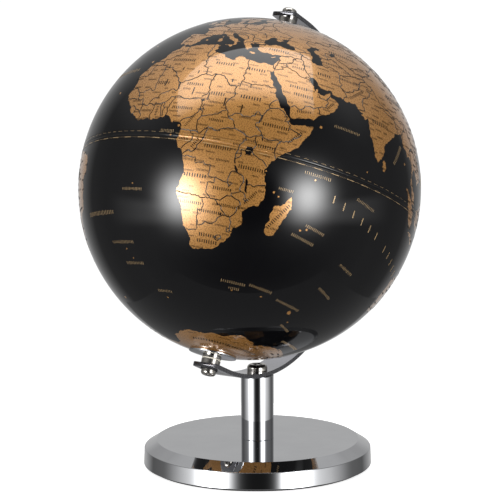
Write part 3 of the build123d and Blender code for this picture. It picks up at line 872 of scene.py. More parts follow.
BORDERS = """
    -1.8 35.1 -1.7 33.5 -1.2 32.2 -3.8 30.9 -5.5 29.9 -8.7 28.7 -8.7 27.6 -13.2 27.7 | -8.7 27.6 -8.7 26
    -12 26 -12 23.4 -13 21.3 -17 21.3 | -8.7 27.3 -4.8 25 -6.5 24.9 -5.5 15.5 -9.5 15.4 -12.2 14.8 | -4.8
    25 1.2 21.1 3.2 19 6 19.6 11.9 23.5 9.5 26.3 9.9 28 9.5 30.2 8.3 32.5 8.3 35 8.6 36.9 | 9.5 30.2 10.3
    31.8 11.5 33.2 | 25.1 31.6 24.9 30 25 22 31.3 22 36.9 22 | 25 22 25 20 24 20 24 19.5 15.9 23.4 14 22.5
    11.9 23.5 | 24 19.5 24 15.7 22.5 14.1 22 12.6 22.9 11 | 15.9 23.4 15.2 21.5 15.5 17 13.5 14.3 | 13.5
    13.7 9.6 12.8 6.8 13.1 3.9 13.5 3.6 11.7 2.7 9 2.7 6.4 | 3.2 19 4.2 16.5 3.5 15.4 0.2 15 -2 14.2 -4.4
    12.3 -5.4 10.3 -2.8 9.7 -2.7 11 0.9 11 2.2 12.2 3.5 13.4 | 14.1 12.8 14.5 11.5 13 7.8 11 6.5 8.6 4.8 |
    15.1 11.8 15.5 10 14 9.8 15.5 7.6 14.5 6 14.7 4.5 16.1 1.7 13.2 2.2 9.8 2.3 | 15.5 7.6 18.5 8.2 22.9
    11 24 8.7 27.4 5.1 25 5 22.5 4.1 18.6 4.3 18.1 3.5 16.1 1.7 | 24 8.7 26 10.2 29 9.6 31 9.8 32.5 12
    33.2 12.2 34.1 8.6 33 7.8 35.9 4.6 | 27.4 5.1 30.9 3.5 34 4.2 35.9 4.6 38 3.6 40 4 42 4.2 45 5 48 8 47
    8 44 9 42.9 11 | 34.1 8.6 34.3 10.6 35 12 36.4 14.2 37 17 38.5 18 | 36.4 14.2 38 14.7 40 14.5 42.4
    12.5 41.8 11 43.2 11.4 | 41.9 3.9 41 3 41 -0.8 41.6 -1.7 | 34 4.2 34.8 1.5 34 0 | 34 -1 37.6 -3 39.2
    -4.7 | 30.5 -1.1 32 -1 | 30.9 3.5 31.2 2.2 29.9 0.5 29.6 -1.3 29 -2.8 29.3 -4.4 30.5 -3.5 30.8 -2.4
    30.5 -1.1 | 29 -2.7 30.6 -2.4 | 18.6 3.5 17.8 0.5 16.2 -2.2 15.3 -4.2 13 -4.6 12.2 -5.5 | 13.2 2.2
    14.2 1.3 14 -1 12.5 -2.2 11.2 -3.8 | 12.4 -6 16.6 -5.9 17 -7.8 19.5 -7 21.8 -7.4 22 -11 24 -11.2 24
    -13 22 -13 22 -16.2 23.4 -17.6 | 24 -11 25.4 -11.5 27 -12 29 -13.4 29.8 -12.2 28.4 -11.8 28.6 -9.5
    28.9 -8.5 30.8 -8.3 | 31 -8.6 32.9 -9.4 33.3 -10.8 33 -14 34.5 -14.5 35 -15.8 35.8 -16 35.2 -17 34.3
    -15.8 | 34.6 -11.5 37 -11.7 40.4 -10.5 | 33 -14 30.3 -15 30.4 -15.9 28.9 -16 27 -17.9 25.3 -17.8 |
    11.8 -17.2 13.9 -17.4 18.4 -17.4 21 -18 23.4 -17.6 25.3 -17.8 | 21 -18.3 21 -22 20 -22 20 -24.8 20
    -28.4 17.4 -28.7 16.5 -28.6 | 20 -24.8 20.8 -26.8 23 -25.3 25.7 -25.6 27 -23.7 29.4 -22.2 27.7 -20.5
    25.3 -17.8 | 30.4 -15.9 32.8 -16.7 33 -19.8 32.4 -21.3 31.3 -22.4 29.4 -22.2 | 31.3 -22.4 31.9 -24 32
    -26.8 32.9 -26.9 | 31 -26 31.9 -26 31.9 -27.2 31 -27.2 30.8 -26.5 31 -26 | 27 -29.6 28.7 -28.7 29.4
    -29.5 28.3 -30.6 27.4 -30.3 27 -29.6 | -16.5 16 -14.5 16.6 -12.2 14.8 -11.4 12.4 -13.7 12.6 -16.7 12.4
    | -11.4 12.4 -9 12.4 -8 10.2 -8.3 7.7 -9.5 8.4 -10.3 8.5 -11.5 7 | -8 10.2 -5.4 10.4 | -8.4 7.6 -7.5
    4.4 | -10.3 8.5 -12.5 9.8 -13.3 9.1 | -2.8 9.7 -3.1 5.1 | 0 11 0.5 8 1.2 6.1 | 0.9 11 1.6 9 1.6 6.2 |
    34.3 31.2 34.9 29.5 35.5 31.5 35.6 33.2 36.5 34.5 35.9 34.6 | 35 29.4 38 30.5 37 31.5 39.2 32.2 38.8
    33.4 35.7 32.7 | 38.8 33.4 41 34.4 41.3 36.4 42.4 37.1 38 36.9 36.7 36.8 36 36 | 39.2 32.2 42 31 44.7
    29.2 46.5 29.1 47.7 30 48 29.5 | 46.5 29.1 48.4 28.6 | 48.5 30 47.7 31 46 33 45.5 35.8 44.8 37.2 42.4
    37.1 | 44.8 37.2 44.4 38.5 44.8 39.7 43.5 41.1 41.6 41.5 | 44.8 39.7 46.5 39 48.9 38.4 | 43.5 41.1
    46.5 41.5 48.5 41.8 | 40 43.4 44 42.6 46.5 41.8 | 42.8 16.4 44 17.4 47 17 49 18.6 52 19 53.1 16.6 | 52
    19 55 20 55.7 22 55.2 22.7 52.6 22.9 51.6 24.1 | 55.2 22.7 56 24.1 56.4 24.9 | 53.9 37.3 57 38.2 61.2
    36.5 61 34 60.6 33 61.7 31.4 60.9 29.9 62.8 28 63.2 27.2 61.6 25.2 | 61.2 35.3 64.5 36.3 67.8 37.2
    71.5 37.9 74.9 37.3 71.5 36.3 70.3 33.4 69.3 31.9 67 31.3 66.3 29.9 60.9 29.9 | 68.2 23.7 71 24.4 70.4
    27.9 73.5 29.9 74.6 31 75.3 32.4 74 34 77.8 35.5 74.9 37.3 | 77.8 35.5 79 32.5 81 30.2 88 27.9 92 27.7
    97.3 28.2 94 24.5 92.6 22 92.3 20.8 | 80.1 29 84 27.4 88.1 26.4 88 27.9 | 89 22 88.2 24.5 88.6 26.4
    89.8 25.3 92.3 25 92.3 22 | 53 42 56 41.3 56 45 58.6 45.6 | 61 44.3 62 43.5 66 42 68 41 70.9 42.3 74
    43.2 80.2 42.3 80.5 45 82.6 45.3 85.5 47 87.3 49.1 | 56 41.3 58.5 42.7 60 42.2 62.4 40 66.6 38 66.5
    37.4 | 68 41 70 39.6 73.8 39.5 74.9 37.3 | 73.8 39.5 80.2 42.3 | 49 46.4 47 48 48.5 50 55 51 60 50.8
    62 54 69 55.3 77 54 80 50.8 87.3 49.1 | 87.3 49.1 98 51.5 107 49.8 116 49.8 119 47 111.5 43.5 105 41.6
    97 42.7 90.9 45.2 87.3 49.1 | 28 41.9 26.4 41.8 22.4 41.2 20.8 40.9 19.9 39.7 | 28.6 43.7 22.8 44.2 21
    46 16.2 46.9 13.7 46.5 10.5 46.6 7 46 7.5 43.8 | 22.4 41.2 22.4 44 | 19.4 41.9 20.5 43 19 44.8 16 45
    13.8 45.5 | -1.8 43.3 3.2 42.4 | -7.4 37.2 -7 41.9 -8.8 41.9 | 7.5 47.5 8.2 49 6.1 49.5 2.6 51 | 7.6
    47.6 13.8 48.8 12.3 50.2 14.8 51 14.4 53.9 | 14.8 51 18.8 49.5 22.5 49.1 23.6 51.5 23.5 53.9 | 23.6
    51.6 30.5 51.4 31 54 28.2 56.1 26.6 55.7 23.5 54 | 31.8 52.1 34 51.3 40 49.6 38.2 47.1 | 28.2 56.1
    27.5 57.5 28 59.4 | 27.8 60.5 31.5 62.9 29 66.5 28.9 69 20.5 69.1 24.1 65.8 | 11.2 59 12.2 62 14.2 65
    20.5 69.1 | 22.9 48 26.6 48.3 28.2 45.5 | -123 49 -95.2 49 -89.5 48 | -82.5 42 -79 43 -75 45 -71.5 45
    -69.2 47.4 -67 45 | -141 69.6 -141 60.3 -130.5 56 | -117.1 32.5 -111 31.3 -106.5 31.8 -103 29 -101.4
    29.8 -99.5 27.5 -97.2 25.9 | -92.2 14.5 -91 16 -89.2 17.8 | -51.6 4.2 -54 2.3 -59.8 1.5 -60 5 -64 4
    -63.4 2.2 -67 1.2 -69.8 0.8 -69.6 -4.3 -73 -5 -73.8 -7.3 -70.6 -9.5 | -70.6 -9.5 -69.5 -11 -65.3 -10
    -65 -12 -60.3 -13.8 -60.2 -16.3 -57.8 -17.5 -58 -20 -58.2 -22 -55.8 -22.3 -54.3 -24 | -54.3 -24 -54.6
    -25.6 -53.8 -27.2 -57.6 -30.2 -53.4 -33.7 | -68.5 -52.3 -72 -50 -71.5 -44 -71 -38 -70 -33 -68.5 -27
    -67.2 -22.8 | -67.2 -22.8 -62.8 -22 -62.3 -20.5 -58.2 -19.8 | -62.8 -22 -57.6 -25.3 -54.6 -25.6 |
    -69.5 -11 -69 -15.5 -69.5 -17.5 -67.2 -22.8 | -80.3 -3.4 -78.4 -4.9 -75.2 -0.1 -70 -2.7 -69.6 -4.3 |
    -78.8 1.4 -75.2 0 | -71.3 11.8 -72.5 8 -70 7 -67.5 6 -67 1.2 | -60 8.5 -61 6.5 -60 5 | -57 6 -58 2 |
    -54 5.8 -54 2.3 | 129 -14.9 129 -31.6 | 138 -16.5 138 -26 141 -26 141 -38 | 129 -26 138 -26 | 141 -29
    153.5 -28.5 | 141 -34 149.8 -37.3 | 102.2 22.4 108 21.6 | 97.8 18.5 100.1 20.3 102.1 18 105 16 105.5
    14.4 102.6 12.2 | 100.1 20.3 97.6 18.5 98.6 15 98.8 10.5 | 102.2 22.4 105 19 107.5 15 107.5 12 104.5
    10.4 | 97.3 28.2 98.7 25.5 101.2 21.6 | 124.4 40 128 42 130.6 42.4 | 126.6 37.8 128.4 38.6 | 119.9
    49.8 120.5 53.3 127.5 50 131 47.8 134.8 48.4 131 45 130.6 42.4 | 109.6 2 112 1.3 115 3 117.6 4.1 | 141
    -2.6 141 -9"""

# Marks that stand for place names: longitude, latitude, how long the row is, height in
# millimetres, slope in degrees. They are plain ticks, and none is a letter.
LAND_MARKS = """-7 32.5 7 .8 20 0 28.5 7 1.3 0 17 28.3 5 1.3 0 28.5 27.8 5 1.3 0 9.5 18.6 5 1.2 0
    18.5 16 4 1.3 0 29.5 16.5 5 1.4 0 39.5 8.6 8 1.2 0 -3 18.5 4 1.3 0 8 9.6 7 1.1 0 23 -1.8 8 1.2 0
    38 1.2 5 1.2 0 35 -6.4 8 1.2 0 17.5 -11.5 6 1.4 0 27 -14.3 6 1.1 0 17.2 -20 7 1.1 0 24 -22 8 1.1 0
    24.5 -29.5 5 1.2 0 24.5 -31.6 6 1.2 0 30 -19.2 8 1 0 36.5 -15.2 6 1 55 46.8 -18.8 9 1.2 60
    46 6.5 6 1.1 50 44.5 24.5 5 1.2 0 46.5 21.8 6 1.2 0 54 33 4 1.3 0 43.5 32.8 4 1.1 0 78.5 21.8 5 1.6 0
    68 29.5 8 1.1 40 35 39 6 1.2 0 47.5 16 5 1 10 56.5 21 4 1 50 66 34 7 1 0 58.5 39.5 8 1 0 67 47 9 1.4 0
    20.5 6.8 5 1 0 12 5.6 6 .9 60 -5.5 8 5 .9 0 -1.2 8 4 .9 90 32.5 2.2 6 .9 0 15.5 -1.5 4 1 60
    11.5 -0.6 4 .9 0 95 36 5 2.4 0 100 62 6 2.6 0 -52 -9 6 2.4 0 -66 -34 8 1.6 80 -100 40 3 2.4 0
    -100 58 6 2.4 0 134 -24 8 2.2 0 -102 24 5 1.6 -40 -75 -9 4 1.4 60 30 -74.5 9 1.5 0 75 -75 9 1.5 0
    -40 73 8 1.4 0 104 47 7 1.2 0 5 24.6 4 .8 0 30 20.5 6 .8 0 19 12.8 7 .8 0 25.5 -5.6 6 .8 0
    20 3.6 7 .8 0 -73 4.5 5 1.2 0 -65 7 6 1 0 -64.5 -17 6 1.2 0"""

OCEAN_MARKS = """63.5 14.5 10 1 0 56 -3.2 9 1.1 0 47 -10.2 6 .9 0 60.5 -19.6 8 1 -10 57.5 -23.6 9 1 -10
    37.5 -43.8 8 1.1 0 38.5 -46 4 1 0 50 -43.6 8 1.1 -6 66 -46.6 10 1 -8 3 -51.8 6 1 0 -10 -42 8 1.1 0
    -14 -34.8 10 1.1 0 -6 -17.6 9 1 0 76 -6.6 9 1 -10 88 14 7 1.3 60 80 -28 8 1 -14 78 -38 8 1 -18
    76 -56 6 1 -20 5 1.5 6 .9 0 -30 25 11 1.6 0 -25 -25 11 1.6 0 -140 25 13 1.8 0 -130 -25 13 1.8 0
    160 10 9 1.2 0 -30 58 9 1.3 0 -170 -45 9 1.2 0 150 38 10 1.2 0 -92 25 9 1 0 -75 15 9 1 0
    60 73 8 1 0 -165 56 8 1 0 114 13 9 1 50 155 -15 8 1.1 -50 -110 -58 13 1.3 0 100 -62 11 1.2 0"""

# Wide-spaced marks for a continent and an ocean: the first place, the step to the next,
# how many, and the height in millimetres.
SPREAD_LAND: tuple[tuple[float, ...], ...] = (
    (-2.0, 18.6, 5.9, -1.3, 6, 3.4), (-4.5, 25.4, 6.6, -0.9, 6, 1.5),
)
SPREAD_SEA: tuple[tuple[float, ...], ...] = (
    (63.5, -8.6, 4.4, -1.1, 6, 3.0), (93, -16.4, 4.4, -1.1, 5, 3.0),
)


# The equator's printed scale: how many marks, the first one's longitude, their latitude, and
# their length and height in millimetres.
GILT_SCALE: tuple[tuple[float, ...], ...] = (
    (60, 1.5, -1.05, 3.5, 0.24), (60, 4.5, -1.05, 3.5, 0.05), (120, 0.0, 0.95, 2.0, 0.1),
)
BROWN_SCALE: tuple[tuple[float, ...], ...] = (
    (120, 0.0, 1.45, 3.6, 0.1), (120, 0.0, -0.62, 3.6, 0.08), (120, 0.0, -1.5, 3.6, 0.08),
)


class MapFace(Enum):
    """What covers a face of a hemisphere, by slot."""

    SEA = 0
    GROUND = 1
    INSIDE = 2


@dataclass
class Chart:
    """The map: rough coast lines that are broken up into natural ones, the same each run."""

    seed: int = 11
    step_deg: float = 0.9
    wander: float = 0.13
    island_corners: int = 7

    def __post_init__(self) -> None:
        """Breaks up every coast line once, so that both hemispheres share it."""
        dice = random.Random(self.seed)
        self.land = [self._coast(spots(text), dice) for text in LAND.values()]
        for lon, lat, half in ISLANDS:
            corners = []
            for k in range(self.island_corners):
                turn = 2 * math.pi * k / self.island_corners
                reach = half * dice.uniform(0.7, 1.15)
                wide = reach / max(math.cos(math.radians(lat)), 0.2)
                corners.append((lon + wide * math.cos(turn), lat + reach * math.sin(turn)))
            self.land.append(self._coast(corners, dice))
        self.water = [self._coast(spots(text), dice) for text in WATER.values()]

    def _coast(self, corners: list[Pair], dice: random.Random) -> np.ndarray:
        """Breaks up a closed line.

        Args:
            corners: its corners, longitude and latitude in degrees.
            dice: the source of the random shifts.

        Returns:
            One row per point of the broken line.
        """
        line: list[Pair] = []
        for start, end in zip(corners, corners[1:] + corners[:1]):
            if abs(start[0] - end[0]) > 300:
                end = (end[0] + math.copysign(360, start[0] - end[0]), end[1])
            line += self.broken(start, end, dice)
        return np.array(line)

    def broken(self, start: Pair, end: Pair, dice: random.Random) -> list[Pair]:
        """Splits a straight run at a shifted middle, again and again.

        Args:
            start: the run's first point, longitude and latitude in degrees.
            end: its last point.
            dice: the source of the random shifts.

        Returns:
            The points from the start up to, but not with, the end.
        """
        narrow = math.cos(math.radians((start[1] + end[1]) / 2))
        dx = (end[0] - start[0]) * narrow
        dy = end[1] - start[1]
        length = math.hypot(dx, dy)
        if length < self.step_deg:
            return [start]
        shift = dice.gauss(0, self.wander) * min(length, 3.0)
        shift = max(-0.3 * length, min(0.3 * length, shift))
        middle = (
            (start[0] + end[0]) / 2 - dy / length * shift / max(narrow, 0.15),
            (start[1] + end[1]) / 2 + dx / length * shift,
        )
        return self.broken(start, middle, dice) + self.broken(middle, end, dice)


def flat_place(lon: np.ndarray, lat: np.ndarray, pole: int, zero_lon: float) -> np.ndarray:
    """Lays points of the globe flat by stereographic projection from the other pole.

    Args:
        lon: longitudes in degrees.
        lat: latitudes in degrees.
        pole: 1 to centre on the north pole, -1 on the south pole.
        zero_lon: the longitude on the open side.

    Returns:
        One row of two coordinates per point, with the equator at one.
    """
    reach = np.tan(np.radians(90 - lat * pole) / 2)
    turn = np.radians(lon - zero_lon)
    return np.column_stack([reach * np.cos(turn), reach * np.sin(turn)])


def inside(line: np.ndarray, places: np.ndarray) -> np.ndarray:
    """Says which flat places lie inside a closed line, by the even-odd rule.

    Args:
        line: the line's corners, one row each.
        places: the places, one row each.

    Returns:
        True for each place that is inside.
    """
    low = line.min(0)
    high = line.max(0)
    near = np.flatnonzero(((places >= low) & (places <= high)).all(1))
    x = places[near, 0]
    y = places[near, 1]
    odd = np.zeros(len(near), bool)
    for (x1, y1), (x2, y2) in zip(line, np.roll(line, -1, axis=0)):
        if y1 == y2:
            continue
        crosses = (y1 > y) != (y2 > y)
        odd ^= crosses & (x < (x2 - x1) * (y - y1) / (y2 - y1) + x1)
    result = np.zeros(len(places), bool)
    result[near] = odd
    return result


@dataclass
class Globe:
    """The two printed hemispheres, and the lines and marks printed over the map."""

    pole_line: PoleLine
    zero_lon: float = 1.85
    wall_mm: float = 1.6
    hole_mm: float = 2.62
    seam_round_mm: float = 0.4
    seam_depth_mm: float = 0.16
    seam_shares: tuple[float, ...] = (0.08, 0.25, 0.55, 1.0)
    ring_count: int = 360
    hole_count: int = 48
    inner_count: int = 180
    grid_deg: float = 2.2
    coast_gap: float = 0.006
    far_cut: float = 1.06
    line_mm: float = 0.27
    line_sunk_mm: float = 0.18
    mark_rise_mm: float = 0.03
    land_stroke: float = 0.24
    sea_stroke: float = 0.15
    spread_stroke_mm: float = 0.45
    word_scale: float = 1.25
    tick_pitch: float = 0.6
    ticks_per_length: float = 1.6
    scatter_tries: int = 9000
    scatter_gap_deg: Pair = (3.4, 1.7)
    seed: int = 5
    chart: Chart = field(default_factory=Chart)

    def __post_init__(self) -> None:
        """Reads the globe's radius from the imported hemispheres."""
        low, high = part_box("north_hemisphere")
        self.radius = (high.y - low.y) / 2

    def build(self) -> None:
        """Builds the hemispheres, then the borders, the equator's scale and the marks."""
        for pole, name, node in ((1, "north_shell", "north_hemisphere"),
                                 (-1, "south_shell", "south_hemisphere")):
            settle(self._shell(name, pole), "globe", "globe_black", node)
        self._borders()
        self._print()

    def point(self, lon: float, lat: float, lift: float = 0.0) -> Vector:
        """Gives the place of a longitude and latitude, raised by lift metres."""
        return self.pole_line.centre + self.direction(lon, lat) * (self.radius + lift)

    def direction(self, lon: float, lat: float) -> Vector:
        """Gives the outward direction at a longitude and latitude.

        Args:
            lon: the longitude in degrees.
            lat: the latitude in degrees.

        Returns:
            A unit vector.
        """
        turn = math.radians(lon - self.zero_lon)
        high = math.radians(lat)
        line = self.pole_line
        level = line.open_side * math.cos(turn) + line.east * math.sin(turn)
        return line.north * math.sin(high) + level * math.cos(high)

    # -- the shells

    def _shell(self, name: str, pole: int) -> bpy.types.Object:
        """Builds one hemisphere as a closed shell whose outer faces follow the coasts.

        Args:
            name: the piece's name.
            pole: 1 for the north, -1 for the south.

        Returns:
            The new object.
        """
        hole_angle = math.degrees(math.asin(self.hole_mm * MM / self.radius))
        seam_deg = math.degrees(self.seam_round_mm * MM / self.radius)
        coasts, waters = self._flat_lines(pole)
        places, edges = self._coast_edges(coasts + waters)
        rings = [(90.0, self.ring_count)]
        rings += [(90 - seam_deg * share, self.ring_count) for share in self.seam_shares]
        rings += [(hole_angle, self.hole_count)]
        grid_rings = []
        angle = hole_angle + 1.5
        while angle < 90 - seam_deg - 0.6:
            count = max(24, int(360 / self.grid_deg * math.sin(math.radians(angle))))
            grid_rings.append((angle, count))
            angle += self.grid_deg
        fixed = []
        for angle, count in rings:
            turns = np.arange(count) * 2 * math.pi / count
            reach = math.tan(math.radians(angle) / 2)
            fixed.append(np.column_stack([reach * np.cos(turns), reach * np.sin(turns)]))
        loose = []
        for row, (angle, count) in enumerate(grid_rings):
            turns = (np.arange(count) + 0.5 * (row % 2)) * 2 * math.pi / count
            reach = math.tan(math.radians(angle) / 2)
            loose.append(np.column_stack([reach * np.cos(turns), reach * np.sin(turns)]))
        free = np.vstack(loose)
        if len(places):
            far = np.ones(len(free), bool)
            for start in range(0, len(free), 500):
                gap = free[start:start + 500, None, :] - places[None, :, :]
                far[start:start + 500] = (gap ** 2).sum(2).min(1) > self.coast_gap ** 2
            free = free[far]
        total = list(places)
        seam_end = len(self.seam_shares)
        for row, ring in enumerate(fixed):
            first = len(total)
            total += list(ring)
            if row in (0, seam_end, seam_end + 1):
                count = len(ring)
                edges += [(first + k, first + (k + 1) % count) for k in range(count)]
        total += list(free)
        made = delaunay_2d_cdt([Vector(p) for p in total], edges, [], 0, 1e-5, False)
        flat = np.array([tuple(v) for v in made[0]])
        triangles = np.array(made[2])
        middle = flat[triangles].mean(1)
        reach = np.linalg.norm(middle, axis=1)
        rim_reach = math.cos(math.pi / self.ring_count)
        hole_reach = math.tan(math.radians(hole_angle) / 2)
        keep = (reach < rim_reach) & (reach > hole_reach * math.cos(math.pi / self.hole_count))
        triangles = triangles[keep]
        middle = middle[keep]
        ground = np.zeros(len(middle), bool)
        for line in coasts:
            ground |= inside(line, middle)
        for line in waters:
            ground &= ~inside(line, middle)
        return self._lifted(name, pole, flat, triangles, ground, hole_angle)

    def _flat_lines(self, pole: int) -> tuple[list[np.ndarray], list[np.ndarray]]:
        """Lays flat the coasts and lakes that touch one hemisphere.

        Args:
            pole: 1 for the north, -1 for the south.

        Returns:
            The flat coast lines and the flat lake lines.
        """
        result = []
        for lines in (self.chart.land, self.chart.water):
            kept = []
            for line in lines:
                if (line[:, 1] * pole).max() > -1.0 and (line[:, 1] * pole).min() > -84:
                    kept.append(flat_place(line[:, 0], line[:, 1], pole, self.zero_lon))
            result.append(kept)
        return result[0], result[1]

    def _coast_edges(self, lines: list[np.ndarray]) -> tuple[np.ndarray, list[tuple[int, int]]]:
        """Gathers the coast segments that lie on or near the disc.

        Args:
            lines: the flat lines, one row per point.

        Returns:
            The points that are kept, and the edges between them.
        """
        places: list[np.ndarray] = []
        edges: list[tuple[int, int]] = []
        for line in lines:
            near = np.linalg.norm(line, axis=1) < self.far_cut
            number: dict[int, int] = {}
            for k in range(len(line)):
                j = (k + 1) % len(line)
                if not (near[k] and near[j]):
                    continue
                for end in (k, j):
                    if end not in number:
                        number[end] = len(places)
                        places.append(line[end])
                edges.append((number[k], number[j]))
        return np.array(places), edges

    def _lifted(
        self, name: str, pole: int, flat: np.ndarray, triangles: np.ndarray,
        ground: np.ndarray, hole_angle: float,
    ) -> bpy.types.Object:
        """Lifts the flat mesh to the sphere, and closes it with its inner wall.

        Args:
            name: the piece's name.
            pole: 1 for the north, -1 for the south.
            flat: the flat points, one row each.
            triangles: corner numbers of each face.
            ground: True for each face that is land.
            hole_angle: the pole hole's angle from the axis, in degrees.

        Returns:
            The new object.
        """
        used = np.unique(triangles)
        renumber = np.full(len(flat), -1)
        renumber[used] = np.arange(len(used))
        triangles = renumber[triangles]
        flat = flat[used]
        reach = np.linalg.norm(flat, axis=1)
        turn = np.arctan2(flat[:, 1], flat[:, 0])
        on_seam = reach > 0.9995
        angle = 2 * np.arctan(np.where(on_seam, 1.0, reach))
        line = self.pole_line
        north = np.array(line.north) * pole
        level = (np.outer(np.cos(turn), line.open_side) + np.outer(np.sin(turn), line.east))
        radial = np.outer(np.cos(angle), north) + level * np.sin(angle)[:, None]
        from_seam = (math.pi / 2 - angle) * self.radius
        share = np.clip(1 - from_seam / (self.seam_round_mm * MM), 0, 1)
        bend = np.arcsin(share)
        drop = self.seam_depth_mm * MM * (1 - np.cos(bend))
        points = radial * (self.radius - drop)[:, None]
        tip = np.column_stack([np.cos(bend) * self.seam_round_mm,
                               np.sin(bend) * self.seam_depth_mm])
        tip /= np.linalg.norm(tip, axis=1)[:, None]
        normals = radial * tip[:, :1] - north * tip[:, 1:]
        seam = np.flatnonzero(on_seam)
        seam = seam[np.argsort(turn[seam])]
        hole = np.flatnonzero(reach < math.tan(math.radians(hole_angle) / 2) * 1.0005)
        hole = hole[np.argsort(turn[hole])]
        count = self.inner_count
        inner = self.radius - self.wall_mm * MM
        inner_hole = math.degrees(math.asin(self.hole_mm * MM / inner))
        inner_rings = [90.0, *np.linspace(84, inner_hole + 4, 14), inner_hole]
        spread = np.arange(count) * 2 * math.pi / count - math.pi
        ring_level = (np.outer(np.cos(spread), line.open_side)
                      + np.outer(np.sin(spread), line.east))
        faces = [list(t) if pole > 0 else list(t[::-1]) for t in triangles.tolist()]
        slots = [MapFace.GROUND.value if g else MapFace.SEA.value for g in ground]
        loops = [(seam, turn[seam])]
        all_points = [points]
        all_normals = [normals]
        first = len(points)
        for ring_angle in inner_rings:
            bent = math.radians(ring_angle)
            ray = north * math.cos(bent) + ring_level * math.sin(bent)
            all_points.append(ray * inner)
            all_normals.append(-ray)
            loops.append((np.arange(first, first + count), spread))
            first += count
        loops.append((hole, turn[hole]))
        for outer, nearer in zip(loops, loops[1:]):
            for triangle in self._stitched(outer, nearer):
                faces.append(triangle if pole > 0 else triangle[::-1])
                slots.append(MapFace.INSIDE.value)
        centre = np.array(line.centre)
        return piece_from(
            name, np.vstack(all_points) + centre, np.vstack(all_normals), faces,
            [Wear.OCEAN, Wear.LAND, Wear.ABS], slots,
        )

    @staticmethod
    def _stitched(
        outer: tuple[np.ndarray, np.ndarray], nearer: tuple[np.ndarray, np.ndarray]
    ) -> list[list[int]]:
        """Joins two closed rings of corners, each sorted by turn, with triangles.

        Args:
            outer: the outer ring's corner numbers and turns.
            nearer: the same for the inner ring.

        Returns:
            The triangles' corner numbers.
        """
        a, a_turn = outer
        b, b_turn = nearer
        a_turn = np.append(a_turn, a_turn[0] + 2 * math.pi)
        b_turn = np.append(b_turn, b_turn[0] + 2 * math.pi)
        i = j = 0
        made: list[list[int]] = []
        while i < len(a) or j < len(b):
            if j >= len(b) or (i < len(a) and a_turn[i + 1] <= b_turn[j + 1]):
                made.append([int(a[i]), int(b[j % len(b)]), int(a[(i + 1) % len(a)])])
                i += 1
            else:
                made.append([int(a[i % len(a)]), int(b[j]), int(b[(j + 1) % len(b)])])
                j += 1
        return made

    # -- what is printed over the map

    def _borders(self) -> None:
        """Draws the borders as thin raised ink lines, with a curve-to-mesh tree."""
        dice = random.Random(self.seed)
        points: list[tuple[float, float, float]] = []
        edges: list[tuple[int, int]] = []
        for text in BORDERS.split("|"):
            corners = spots(text)
            line: list[Pair] = []
            for start, end in zip(corners, corners[1:]):
                line += self.chart.broken(start, end, dice)
            line.append(corners[-1])
            first = len(points)
            points += [tuple(self.point(lon, lat, -self.line_sunk_mm * MM)) for lon, lat in line]
            edges += [(first + k, first + k + 1) for k in range(len(line) - 1)]
        tree, sockets = line_tree()
        piece = grown(
            "map_borders", points, edges, {}, tree,
            {sockets["Line radius"]: self.line_mm * MM, sockets["Ink"]: Wear.BROWN_INK},
        )
        settle(piece, "globe", "globe_black")

    def _print(self) -> None:
        """Prints the equator's scale and dashes, and the marks that stand for names."""
        gilt: list[Mark] = []
        brown: list[Mark] = []
        for rows, scale in ((gilt, GILT_SCALE), (brown, BROWN_SCALE)):
            for count, first, lat, long, tall in scale:
                for k in range(int(count)):
                    rows.append((360 / count * k + first, lat, long, tall, 0.0))
        dice = random.Random(self.seed + 1)
        for text, rows, stroke in ((LAND_MARKS, brown, self.land_stroke),
                                   (OCEAN_MARKS, gilt, self.sea_stroke)):
            values = [float(v) for v in text.split()]
            words = [values[k:k + 5] for k in range(0, len(values), 5)]
            if rows is brown:
                words += self._small_words(words, dice)
            for word in words:
                rows += self._word(word, stroke, dice)
        for spread, rows in ((SPREAD_LAND, brown), (SPREAD_SEA, gilt)):
            for lon, lat, lon_step, lat_step, count, tall in spread:
                for k in range(int(count)):
                    rows.append((
                        lon + lon_step * k, lat + lat_step * k, self.spread_stroke_mm, tall, 0.0,
                    ))
        for name, rows, ink in (("land_print", brown, Wear.BROWN_INK),
                                ("sea_print", gilt, Wear.GILT_INK)):
            self._stamp(name, rows, ink)

    def _stamp(self, name: str, rows: Sequence[Mark], ink: Wear) -> None:
        """Sets a flat stroke of ink at each row's place, with an instancing tree.

        Args:
            name: the piece's name.
            rows: longitude, latitude, length, height and slope of each stroke.
            ink: the finish they share.
        """
        points = []
        turns = []
        sizes = []
        for lon, lat, long, tall, slope in rows:
            up = self.direction(lon, lat)
            east = self.pole_line.north.cross(up).normalized()
            north = up.cross(east)
            lean = math.radians(slope)
            along = east * math.cos(lean) + north * math.sin(lean)
            rise = up.cross(along)
            points.append(tuple(self.point(lon, lat)))
            turns.append(tuple(Matrix((along, rise, up)).transposed().to_euler()))
            sizes.append((long * MM, tall * MM, 2 * self.mark_rise_mm * MM))
        tree, sockets = mark_tree()
        piece = grown(
            name, points, [], {"mark_turn": turns, "mark_size": sizes}, tree,
            {sockets["Stroke scale"]: 1.0, sockets["Ink"]: ink},
        )
        settle(piece, "globe", "globe_black")

